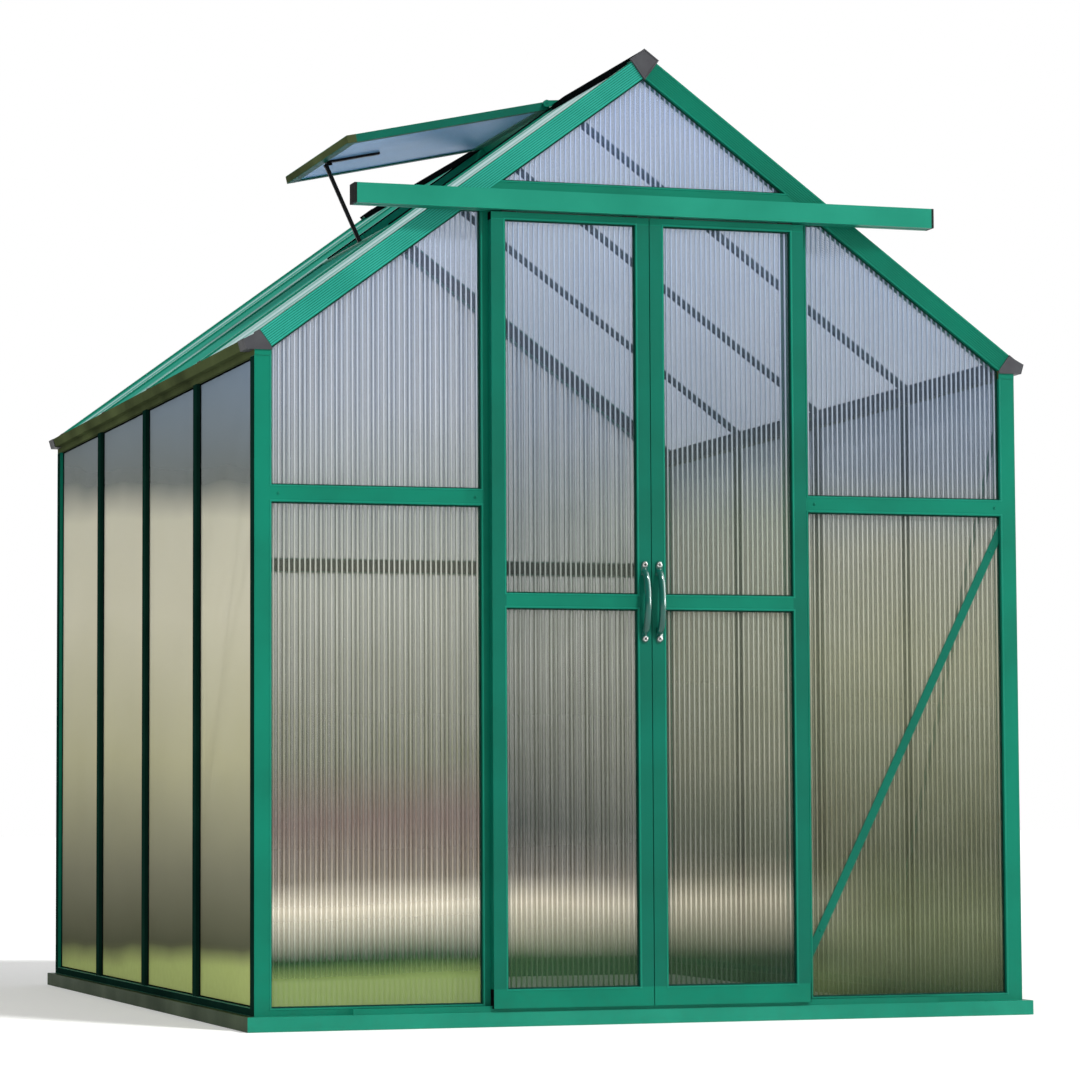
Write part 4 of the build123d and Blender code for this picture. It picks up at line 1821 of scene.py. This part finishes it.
@dataclass
class RoofSlopes:
    """Glazing of the roof and the ribbed faces of the gable rafters."""

    glazing: Glazing
    workshop: Workshop
    rib_count: int = 9
    rib_margin: float = 0.0035
    rib_width: float = 0.0033
    rib_height: float = 0.0012
    rib_top: float = 0.004
    rib_foot: float = 1.130

    def panes(self, side: Side) -> list[Pane]:
        """Panes of one slope.

        Args:
            side: Slope to glaze.

        Returns:
            One pane for each bay.
        """
        panel = slope_panel(HOUSE.roof_pane_out, side)
        low = -(HOUSE.rafter_run + HOUSE.roof_pane_overhang)
        panes = []
        for i, bay in enumerate(HOUSE.roof_bays):
            under_vent = side is Side.LEFT and i == HOUSE.vent_bay
            top = -HOUSE.vent_sill_end if under_vent else 0.0
            panes.append(Pane(panel, box_outline(side.span(*bay), (low, top))))
        return panes

    def ribs(self, side: Side, front: bool, coat: PowderCoat) -> Mesh:
        """Raised ribs along the face of one gable rafter.

        Args:
            side: Slope of the rafter.
            front: True for the door gable.
            coat: Finish of the ribs.

        Returns:
            The mesh of the ribs.
        """
        end, face_y, facing = ("front", HOUSE.front_y, -1) if front else ("rear", HOUSE.rear_y, 1)
        panel, sign = rafter_panel(side, face_y, facing)
        step = (HOUSE.rafter_depth - 2 * self.rib_margin) / (self.rib_count - 1)
        levels = [sign * (self.rib_margin + step * i) for i in range(self.rib_count)]
        points = [panel.point(level, -self.rib_foot, self.rib_height / 2) for level in levels]
        return BarRows.bake(f"{side.word}_{end}_rafter_ribs", points, {
            "Bar Width": self.rib_width, "Bar Depth": self.rib_height,
            "Turn": panel.turn, "Finish": coat.material(),
        }, [self.rib_foot - self.rib_top] * len(points))

    def build(self) -> None:
        """Dress both slopes."""
        # The left ribs take the painted highlight coat; the right ones keep the frame coat.
        for side, coat in ((Side.LEFT, RIB_HIGHLIGHT_COAT), (Side.RIGHT, FRAME_COAT)):
            name = side.word + "_roof"
            self.glazing.webs(
                name + "_webs", self.panes(side), Body.FRAME, Slot.ROOF_PANE, ROOF_SHEET.web
            )
            self.workshop.dress(ROOF_SHEET.skin, name + "_panes")
            for front in (True, False):
                self.workshop.place(self.ribs(side, front, coat), Body.FRAME, Slot.FRAME, coat)


@dataclass
class SlidingDoor:
    """One sliding door: sheets, seals, bowed handle and its screws."""

    glazing: Glazing
    workshop: Workshop
    screws: ScrewMaker
    side: Side
    start: float = 0.001
    width: float = 0.390
    stile: float = 0.034
    front_gap: float = 0.028
    back_gap: float = 0.004
    pane_recess: float = 0.009
    low: float = 0.042
    bottom_rail: float = 0.044
    mid_low: float = 0.966
    mid_high: float = 1.001
    high: float = 1.893
    top_rail: float = 0.018
    handle_height: float = 0.984
    handle_span: float = 0.142
    handle_reach: float = 0.035
    handle_radius: float = 0.008
    handle_steps: int = 40
    handle_corners: int = 20
    pad_half: float = 0.008
    pad_depth: float = 0.004
    pad_step: float = 0.75
    pad_bevel: float = 0.0012
    pad_margin: float = 0.009
    pad_corners: int = 12
    screw_span: float = 0.174
    screw_radius: float = 0.0065
    seal_margin: float = 0.01
    brush_lines: Flat = (0.008, 0.015)
    brush_width: float = 0.004
    brush_depth: float = 0.0024
    bumper: float = 0.0007
    bumper_out: Flat = (-0.018, -0.006)
    plug: float = 0.001

    @property
    def name(self) -> str:
        """Side of the house as a word."""
        return self.side.word

    @property
    def body(self) -> Body:
        """Body of this door."""
        return Body.LEFT_DOOR if self.side is Side.LEFT else Body.RIGHT_DOOR

    @property
    def face(self) -> Panel:
        """Panel in the door's front face."""
        return gable_panel(HOUSE.front_y - self.front_gap, True)

    @property
    def middle(self) -> float:
        """Middle of the handle across the house."""
        return self.side.value * (self.start + self.stile / 2)

    def panes(self) -> list[Pane]:
        """Lower and upper sheet of the door.

        Returns:
            The two panes.
        """
        panel = gable_panel(HOUSE.front_y - self.front_gap + self.pane_recess, True)
        across = self.side.span(self.start + self.stile, self.start + self.width - self.stile)
        lower = (self.low + self.bottom_rail, self.mid_low)
        upper = (self.mid_high, self.high - self.top_rail)
        return [Pane(panel, box_outline(across, up)) for up in (lower, upper)]

    def seals(self) -> Mesh:
        """Brush seal behind the outer stile, bumper on the meeting edge and plugs in the rails.

        Returns:
            The mesh of all of them.
        """
        sketch = MeshSketch()
        span, end = self.side.span, self.start + self.width
        back = gable_panel(HOUSE.front_y - self.back_gap, True)
        up = (self.low + self.seal_margin, self.high - self.seal_margin)
        for line in self.brush_lines:
            brush = box_outline(span(end - line, end - line + self.brush_width), up)
            sketch.prism(back, brush, -self.brush_depth, 0.0)
        edge = box_outline(span(self.start - self.bumper, self.start), up)
        sketch.prism(self.face, edge, *self.bumper_out)
        rails = ((self.low, self.low + self.bottom_rail), (self.high - self.top_rail, self.high))
        for rail in rails:
            plug = box_outline(span(end, end + self.plug), rail)
            sketch.prism(self.face, plug, self.back_gap - self.front_gap, 0.0)
        return sketch.mesh(self.name + "_door_seals")

    def handle(self) -> Mesh:
        """Bowed round pull on a round-ended pad at each end.

        Returns:
            The mesh of the handle.
        """
        sketch = MeshSketch()
        half, crest = self.handle_span / 2, self.handle_reach - self.handle_radius
        angles = [pi * i / self.handle_steps for i in range(self.handle_steps + 1)]
        path = [
            self.face.point(self.middle, self.handle_height - half * cos(angle), crest * sin(angle))
            for angle in angles
        ]
        sketch.sweep(path, self.handle_radius, X_AXIS, self.handle_corners)
        step = self.pad_depth * self.pad_step
        for sign in (-1, 1):
            pad = self.pad_outline(sign)
            sketch.prism(self.face, pad, 0.0, step)
            sketch.prism(self.face, inset(pad, self.pad_bevel), step, self.pad_depth)
        return sketch.mesh(self.name + "_door_pull")

    def pad_outline(self, sign: int) -> list[Flat]:
        """Outline of one handle pad with a round outer end.

        Args:
            sign: 1 for the upper pad, -1 for the lower one.

        Returns:
            The anticlockwise corners.
        """
        middle, half = self.middle, self.pad_half
        inner = self.handle_height + sign * (self.handle_span / 2 - self.pad_margin)
        centre = self.handle_height + sign * (self.screw_span / 2 + self.pad_margin - half)
        angles = [pi * i / self.pad_corners for i in range(self.pad_corners + 1)]
        end = [(middle + half * cos(angle), centre + sign * half * sin(angle)) for angle in angles]
        corners = [(middle + half, inner), *end, (middle - half, inner)]
        return corners if sign > 0 else corners[::-1]

    def fit_screws(self) -> None:
        """Set the handle's screws and the dark fills that paint shade at the bottoms of their recesses.
        """
        heights = [self.handle_height + sign * self.screw_span / 2 for sign in (-1, 1)]
        seats = [self.face.point(self.middle, height, self.pad_depth) for height in heights]
        for word, steel, recess, replaced in (
            ("screws", STEEL, False, [self.name + "_handle_screws"]),
            # The recess fills are dark steel as painted shade.
            ("recesses", RECESS_SHADE_STEEL, True, []),
        ):
            name = f"{self.name}_pull_{word}"
            mesh = self.screws.bake(name, seats, self.face.out, self.screw_radius, steel, recess)
            self.workshop.place(mesh, self.body, Slot.SCREW, steel, replaced)

    def build(self) -> None:
        """Dress the door."""
        panes, door = self.panes(), self.name + "_door"
        self.glazing.webs(door + "_webs", panes, self.body, Slot.DOOR_PANE, DOOR_SHEET.web)
        self.glazing.gaskets(door + "_gaskets", panes, self.body, GREEN_RUBBER)
        self.glazing.beads(door + "_beads", panes, self.pane_recess, self.body, Slot.DOOR)
        self.workshop.place(self.seals(), self.body, Slot.RUBBER, RUBBER)
        self.workshop.place(
            self.handle(), self.body, Slot.HANDLE, HANDLE_COAT, [door + "_handle"], smooth=True
        )
        self.fit_screws()
        self.workshop.dress(DOOR_COAT, door + "_stiles")
        self.workshop.dress(FRAME_COAT, door + "_rails")
        self.workshop.dress(DOOR_SHEET.skin, door + "_panes")
        self.workshop.dress(HANGER_PAINT, door + "_hangers")
        self.workshop.dress(ROLLER_PLASTIC, self.name + "_roller_inner", self.name + "_roller_outer")


@dataclass
class RoofVent:
    """Propped-open roof vent with its sheet and stay."""

    glazing: Glazing
    workshop: Workshop
    opening: float = radians(24.3)
    hinge_along: float = 0.010
    hinge_out: float = 0.066
    pane_along: Flat = (0.026, 0.518)
    pane_out: float = 0.0615
    frame_out: float = 0.072
    pane_y: Flat = (-0.577, 0.0075)
    frame_y: Flat = (-0.601, 0.0315)
    low_rail: Flat = (0.518, 0.542)
    frame_low: float = 0.052
    plug_depth: float = 0.0015
    drip_depth: float = 0.0008
    drip_margin: float = 0.0015
    seal_along: Flat = (0.004, 0.530)
    seal_top: float = 0.0515
    seal_margin: float = 0.0005

    def panel(self) -> Panel:
        """Panel in the sheet's outer face, turned with the open vent.

        Returns:
            The panel, its up coordinate minus the distance down the shut slope.
        """
        slope = slope_panel(0.0, Side.LEFT)
        hinge = slope.point(0.0, -self.hinge_along, self.hinge_out)
        turn = Matrix.Rotation(self.opening, 3, "Y")
        flat = slope.point(0.0, 0.0, self.pane_out)
        return Panel(hinge + turn @ (flat - hinge), slope.across, turn @ slope.up)

    @staticmethod
    def outline(y: Flat, along: Flat) -> list[Flat]:
        """Rectangle on the left slope, from limits in Y and distances down the slope."""
        return box_outline((-y[1], -y[0]), (-along[1], -along[0]))

    def rail_trim(self) -> Mesh:
        """End plugs and a drip edge on the vent's lower rail.

        Returns:
            The mesh of the trim.
        """
        sketch = MeshSketch()
        panel = self.panel()
        low, high = self.frame_low - self.pane_out, self.frame_out - self.pane_out
        (near, far), foot = self.frame_y, self.low_rail[1]
        for plug in ((far, far + self.plug_depth), (near - self.plug_depth, near)):
            sketch.prism(panel, self.outline(plug, self.low_rail), low, high)
        edge = self.outline(self.frame_y, (foot, foot + self.drip_depth))
        sketch.prism(panel, edge, low + self.drip_margin, high - self.drip_margin)
        return sketch.mesh("vent_rail_trim")

    def opening_seals(self) -> Mesh:
        """Black rubber strips on the bars at both sides of the opening, under the shut vent, painted as
        the opening's shade.

        Returns:
            The mesh of the strips.
        """
        sketch = MeshSketch()
        panel = slope_panel(0.0, Side.LEFT)
        for bar in HOUSE.roof_bar_lines[HOUSE.vent_bay - 1:HOUSE.vent_bay + 1]:
            strip = inset(self.outline(bar, self.seal_along), self.seal_margin)
            sketch.prism(panel, strip, HOUSE.rafter_depth, self.seal_top)
        return sketch.mesh("vent_opening_seals")

    def build(self) -> None:
        """Dress the vent."""
        # Painted shade: black strips at the sides of the vent opening.
        self.workshop.place(self.opening_seals(), Body.FRAME, Slot.RUBBER, RUBBER)
        # The lower rail's trim takes the dark olive painted shade coat.
        self.workshop.place(self.rail_trim(), Body.VENT, Slot.DOOR, GUTTER_SHADE_COAT)
        panes = [Pane(self.panel(), self.outline(self.pane_y, self.pane_along))]
        self.glazing.webs("vent_webs", panes, Body.VENT, Slot.ROOF_PANE, VENT_SHEET.web)
        self.glazing.gaskets("vent_gasket", panes, Body.VENT, RUBBER)
        self.glazing.beads("vent_bead", panes, self.frame_out - self.pane_out, Body.VENT, Slot.DOOR)
        self.workshop.dress(DOOR_COAT, "vent_frame")
        self.workshop.dress(VENT_SHEET.skin, "vent_pane")
        self.workshop.dress(STAY_PAINT, "vent_stay_bracket", "vent_stay")


@dataclass
class EaveTrim:
    """Trim at the eaves: end webs, bar plugs, and dark covers and strips that paint shade on the walls'
    bars and inside.
    """

    workshop: Workshop
    web_top: float = 1.5545
    web_depth: float = 0.0012
    web_margin: float = 0.0002
    plug_low: float = 0.0373
    plug_length: float = 0.005
    plug_margin: float = 0.0004
    plug_rise: float = 0.0006
    cover_depth: float = 0.0006
    cover_margin: float = 0.001
    foam_depth: float = 0.0008
    rafter_along: Flat = (-1.128, -0.06)

    @property
    def end_bars(self) -> tuple[Flat, Flat]:
        """Start and end in Y of the front and rear posts and rafters."""
        front, rear = HOUSE.front_y, HOUSE.rear_y
        return (front, front + HOUSE.post), (rear - HOUSE.post, rear)

    def end_webs(self) -> Mesh:
        """Thin webs over the hollow beam ends under the gutter caps.

        Returns:
            The mesh of the four webs.
        """
        sketch = MeshSketch()
        for panel in gable_ends():
            for side in Side:
                across = side.span(HOUSE.inner, HOUSE.half_width)
                web = inset(box_outline(across, (HOUSE.wall_top, self.web_top)), self.web_margin)
                sketch.prism(panel, web, 0.0, self.web_depth)
        return sketch.mesh("gutter_end_webs")

    def bar_plugs(self) -> Mesh:
        """Moulded plugs at the feet of the rafters and glazing bars.

        Returns:
            The mesh of all the plugs.
        """
        sketch = MeshSketch()
        run = (-(HOUSE.rafter_run + self.plug_length), -HOUSE.rafter_run)
        front, rear = self.end_bars
        for side in Side:
            panel = slope_panel(0.0, side)
            for bar in (front, *HOUSE.roof_bar_lines, rear):
                plug = inset(box_outline(side.span(*bar), run), self.plug_margin)
                sketch.prism(panel, plug, self.plug_low, HOUSE.rafter_depth + self.plug_rise)
        return sketch.mesh("roof_bar_plugs")

    def side_covers(self) -> Mesh:
        """Thin dark covers that paint shade on the posts and base rails along the long walls.

        Returns:
            The mesh of the covers.
        """
        sketch = MeshSketch()
        front, rear = self.end_bars
        post_up = (HOUSE.sill, HOUSE.wall_top)
        rail = ((front[1], rear[0]), (HOUSE.sill, HOUSE.glazing_low))
        for side in Side:
            panel = wall_panel(HOUSE.half_width, side)
            for along, up in ((front, post_up), (rear, post_up), rail):
                cover = inset(box_outline(side.span(*along), up), self.cover_margin)
                sketch.prism(panel, cover, 0.0, self.cover_depth)
        return sketch.mesh("wall_bar_covers")

    def side_foam(self, sketch: MeshSketch, side: Side) -> None:
        """Dark strips painted as shade on the eave beam, the rear rafter and the roof bars of one side.

        Args:
            sketch: Piece to add it to.
            side: Side of the house.
        """
        front, rear = self.end_bars
        beam = box_outline(side.span(front[1], rear[0]), (HOUSE.wall_top, HOUSE.eave))
        sketch.prism(wall_panel(HOUSE.inner, side), beam, -self.foam_depth, 0.0)
        rafter, sign = rafter_panel(side, rear[0], -1)
        first, last = sorted((sign * self.cover_margin, sign * (self.plug_low - self.cover_margin)))
        sketch.prism(rafter, box_outline((first, last), self.rafter_along), 0.0, self.foam_depth)
        slope, foot, low = slope_panel(0.0, side), -HOUSE.rafter_run, HOUSE.roof_bar_low
        for bay in HOUSE.roof_bays:
            strip = box_outline(side.span(*bay), (foot, foot + self.foam_depth))
            sketch.prism(slope, strip, 0.0, self.plug_low)
        for bar in HOUSE.roof_bar_lines:
            strip = box_outline(side.span(*bar), (self.foam_depth + foot, -self.foam_depth))
            sketch.prism(slope, inset(strip, self.cover_margin), low - self.foam_depth, low)

    def foam(self) -> Mesh:
        """Black strips painted as shade on the inner faces of the eave beams, roof bars, rear rafters
        and rails.

        Returns:
            The mesh of all the strips.
        """
        sketch = MeshSketch()
        for side in Side:
            self.side_foam(sketch, side)
        panel = gable_panel(HOUSE.rear_y - HOUSE.bar_depth, False)
        inside, outside = HOUSE.rear_upright_in, HOUSE.rear_upright_out
        for across in ((-HOUSE.inner, -outside), (-inside, inside), (outside, HOUSE.inner)):
            rail = inset(box_outline(across, (HOUSE.mid_low, HOUSE.mid_top)), self.cover_margin)
            sketch.prism(panel, rail, -self.foam_depth, 0.0)
        return sketch.mesh("inner_foam_strips")

    def build(self) -> None:
        """Add the trim."""
        self.workshop.place(self.end_webs(), Body.FRAME, Slot.FRAME, FRAME_COAT)
        self.workshop.place(self.bar_plugs(), Body.FRAME, Slot.CAP, CAP_PLASTIC)
        # Painted shade: dark covers on the walls' bars.
        self.workshop.place(self.side_covers(), Body.FRAME, Slot.FRAME, SHADE_SIDE_COAT)
        # Painted shade: black strips on the inner faces.
        self.workshop.place(self.foam(), Body.FRAME, Slot.RUBBER, RUBBER)


@dataclass
class RidgeTrim:
    """Black strips painted as shade along the ridge, and raised rims on the ridge caps."""

    workshop: Workshop
    seal_along: float = 0.004
    seal_low: float = 0.0432
    strip_depth: float = 0.0036
    strip_width: float = 0.0375
    vent_gap: Flat = (-0.618, 0.048)
    ridge_depth: float = 0.052
    cap_margin: float = 0.004
    cap_depth: float = 0.004
    rim_width: float = 0.004
    rim_height: float = 0.0012
    rim_margin: float = 0.0002
    rim_crown: float = 0.0008

    def seals(self) -> Mesh:
        """Black strips that paint the shade in the step between the sheets and the ridge beam, and a
        strip over the beam.

        Returns:
            The mesh of the strips.
        """
        sketch = MeshSketch()
        front, rear = HOUSE.front_y, HOUSE.rear_y
        for side in Side:
            panel = slope_panel(0.0, side)
            bays, lengths = HOUSE.roof_bays, [(front, rear)]
            if side is Side.LEFT:
                bays.pop(HOUSE.vent_bay)
                lengths = [(front, self.vent_gap[0]), (self.vent_gap[1], rear)]
            for bay in bays:
                step = box_outline(side.span(*bay), (-self.seal_along, 0.0))
                sketch.prism(panel, step, self.seal_low, self.ridge_depth)
            for length in lengths:
                strip = box_outline(side.span(*length), (-self.seal_along, self.strip_width))
                sketch.prism(panel, strip, self.ridge_depth, self.ridge_depth + self.strip_depth)
        return sketch.mesh("ridge_seals")

    def rims(self) -> Mesh:
        """Raised rims round the faces of the ridge caps.

        Returns:
            The mesh of both rims.
        """
        sketch = MeshSketch()
        apex, depth = HOUSE.apex, self.ridge_depth
        x, rise = depth * sin(HOUSE.pitch), depth * cos(HOUSE.pitch)
        top = apex + depth / cos(HOUSE.pitch)
        kite = [(0.0, apex), (x, apex + rise), (0.0, top), (-x, apex + rise)]
        edges = (self.rim_margin - self.cap_margin, self.rim_width - self.cap_margin)
        out = (self.cap_depth, self.cap_depth + self.rim_height)
        for panel in gable_ends():
            sketch.ring(panel, kite, edges, out, self.rim_crown)
        return sketch.mesh("ridge_cap_rims")

    def build(self) -> None:
        """Add the shade strips and rims."""
        # Painted shade: black rubber strips along the ridge.
        self.workshop.place(self.seals(), Body.FRAME, Slot.RUBBER, RUBBER)
        self.workshop.place(self.rims(), Body.FRAME, Slot.CAP, CAP_PLASTIC)


@dataclass
class FrameBars:
    """Coats of the fixed bars, caps and small fittings, and the coated screws in the gables."""

    workshop: Workshop
    screws: ScrewMaker
    screw_radius: float = 0.0035
    screw_inset: float = 0.016
    brace_face: float = 0.008
    brace_ends: tuple[Flat, Flat] = ((0.432, 0.209), (0.886, 1.118))

    def rail_seats(self, near: float) -> list[Flat]:
        """Seats of the screws at both ends of a gable's outer mid rails.

        Args:
            near: Distance of a rail's inner end from the middle.

        Returns:
            The four seats, across and up.
        """
        up = (HOUSE.mid_low + HOUSE.mid_top) / 2
        ends = (near + self.screw_inset, HOUSE.inner - self.screw_inset)
        return [(sign * x, up) for sign in (-1, 1) for x in ends]

    def fit_screws(self) -> None:
        """Set coated screws in the mid rails' ends and in the front brace."""
        front, rear = gable_ends()
        brace = gable_panel(HOUSE.front_y + self.brace_face, True)
        for name, panel, places in (
            ("front_rail_screws", front, self.rail_seats(HOUSE.jamb_out)),
            ("rear_rail_screws", rear, self.rail_seats(HOUSE.rear_upright_out)),
            ("brace_screws", brace, self.brace_ends),
        ):
            seats = [panel.point(across, up) for across, up in places]
            mesh = self.screws.bake(name, seats, panel.out, self.screw_radius, FRAME_COAT)
            self.workshop.place(mesh, Body.FRAME, Slot.FRAME, FRAME_COAT)

    def build(self) -> None:
        """Set the screws and dress the CAD nodes of the frame."""
        self.fit_screws()
        corners = [f"{end}_{side.word}" for end in ("front", "rear") for side in Side]
        self.workshop.dress(
            FRAME_COAT, *("post_" + corner for corner in corners),
            *("rafter_" + corner for corner in corners), "base_glazing_rails", "ridge_beam",
            "left_jamb", "right_jamb", "mid_rails", "door_header", "bottom_guide", "rear_uprights",
            "left_roof_bars", "vent_sill", "vent_hinge_brackets",
        )
        self.workshop.dress(DOOR_COAT, "diagonal_braces")
        # Painted highlight: the sills and door track take the lighter coat.
        self.workshop.dress(LIT_HIGHLIGHT_COAT, "sill_front", "sill_rear", "door_track")
        # Painted shade: the wall mullions and the right roof bars take the dark coat.
        self.workshop.dress(SHADE_SIDE_COAT, "left_mullions", "right_mullions", "right_roof_bars")
        # Painted shade: the gutters take the dark olive coat.
        self.workshop.dress(GUTTER_SHADE_COAT, "left_gutter", "right_gutter")
        # Painted shade: the side sills take the dark olive coat.
        self.workshop.dress(LEDGE_SHADE_COAT, "sill_left", "sill_right")
        self.workshop.dress(CAP_PLASTIC, "gutter_caps", "ridge_caps")
        self.workshop.dress(STOP_PLASTIC, "track_stops")
        self.workshop.dress(STEEL, "sill_corner_keys")


# Studio


@dataclass
class PhotoCamera:
    """Camera at the photograph's place."""

    place: Triple = (-2.923, -9.5765, 0.502)
    yaw: float = radians(17.646)
    pitch: float = radians(4.079)
    roll: float = radians(-0.291)
    lens: float = 125.33
    sensor: float = 36.0
    reach: float = 200.0

    def build(self) -> None:
        """Add the camera and make it the scene's own."""
        level = Vector((cos(self.yaw), -sin(self.yaw), 0.0))
        flat = cos(self.pitch)
        ahead = Vector((sin(self.yaw) * flat, cos(self.yaw) * flat, sin(self.pitch)))
        upright = level.cross(ahead)
        right = level * cos(self.roll) + upright * sin(self.roll)
        up = upright * cos(self.roll) - level * sin(self.roll)
        data = bpy.data.cameras.new("Photo_camera")
        data.lens = self.lens
        data.sensor_width = self.sensor
        data.clip_end = self.reach
        camera = bpy.data.objects.new("Photo_camera", data)
        turn = Matrix((right, up, -ahead)).transposed().to_4x4()
        camera.matrix_world = Matrix.Translation(Vector(self.place)) @ turn
        bpy.context.scene.collection.objects.link(camera)
        bpy.context.scene.camera = camera


@dataclass(frozen=True)
class Lamp:
    """A distant lamp: the direction it shines from, its spread, and whether it shows in gloss."""

    name: str
    strength: float
    source: Triple
    spread: float
    mirrored: bool

    def build(self) -> None:
        """Add the lamp."""
        data = bpy.data.lights.new(self.name, "SUN")
        data.energy = self.strength
        data.angle = self.spread
        lamp = bpy.data.objects.new(self.name, data)
        lamp.visible_glossy = self.mirrored
        lamp.rotation_euler = Z_AXIS.rotation_difference(Vector(self.source)).to_euler()
        bpy.context.scene.collection.objects.link(lamp)


@dataclass
class Studio:
    """Pale floor, white surroundings and three lamps: front right, broad from the left, low right."""

    lamps: tuple[Lamp, ...] = (
        Lamp("Key_lamp", 2.45, (0.30, -0.62, 0.74), radians(6), True),
        Lamp("Fill_lamp", 0.7, (-0.80, -0.45, 0.40), radians(60), False),
        Lamp("Side_lamp", 0.8, (0.90, -0.42, 0.06), radians(6), True),
    )
    ambient: float = 0.45
    sheen_shade: Flat = (-0.35, 0.30)
    sheen_least: float = 0.1
    sheen_screen: Flat = (0.45, 0.80)
    sheen_most: float = 9.0
    floor_half: float = 60.0
    floor_levels: Flat = (-0.02, -0.0005)

    def world(self) -> None:
        """White to the camera, with a bright screen on the right to gloss, and soft to all else."""
        world = bpy.data.worlds.new("Studio_world")
        world.use_nodes = True
        world.node_tree.nodes.clear()
        sketch = NodeSketch(world.node_tree)
        across = sketch.split(sketch.add("ShaderNodeTexCoord").outputs["Generated"])["X"]
        shade = sketch.fit(across, self.sheen_shade, (self.sheen_least, 1.0))
        screen = sketch.fit(across, self.sheen_screen, (0.0, self.sheen_most))
        glossy = sketch.add("ShaderNodeLightPath").outputs["Is Glossy Ray"]
        sheen = sketch.fit(glossy, UNIT, (1.0, sketch.math("ADD", shade, screen)))
        plain = sketch.fit(sketch.seen(), UNIT, (self.ambient, 1.0))
        strength = sketch.math("MULTIPLY", plain, sheen)
        light = sketch.add("ShaderNodeBackground", {"Color": WHITE, "Strength": strength})
        sketch.add("ShaderNodeOutputWorld", {"Surface": light.outputs[0]})
        bpy.context.scene.world = world

    def floor(self) -> None:
        """Plain floor under the house."""
        sketch = MeshSketch()
        reach = (-self.floor_half, self.floor_half)
        sketch.prism(FLOOR_PANEL, box_outline(reach, reach), *self.floor_levels)
        mesh = sketch.mesh("Studio_floor")
        mesh.materials.append(FLOOR.material())
        floor = bpy.data.objects.new("Studio_floor", mesh)
        bpy.context.scene.collection.objects.link(floor)

    def build(self) -> None:
        """Set up the studio."""
        self.world()
        for lamp in self.lamps:
            lamp.build()
        self.floor()
        bpy.context.scene.view_settings.view_transform = "Standard"


def main() -> None:
    """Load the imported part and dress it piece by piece."""
    logging.basicConfig(level=logging.INFO, format="%(name)s: %(message)s")
    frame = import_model()
    workshop = Workshop(frame["nodes"])
    glazing = Glazing(workshop)
    screws = ScrewMaker()
    PhotoCamera().build()
    Studio().build()
    FrameBars(workshop, screws).build()
    EaveTrim(workshop).build()
    RidgeTrim(workshop).build()
    Gables(glazing, workshop).build()
    LongWalls(glazing, workshop).build()
    RoofSlopes(glazing, workshop).build()
    for side in Side:
        SlidingDoor(glazing, workshop, screws, side).build()
    RoofVent(glazing, workshop).build()


if __name__ == "__main__":
    main()
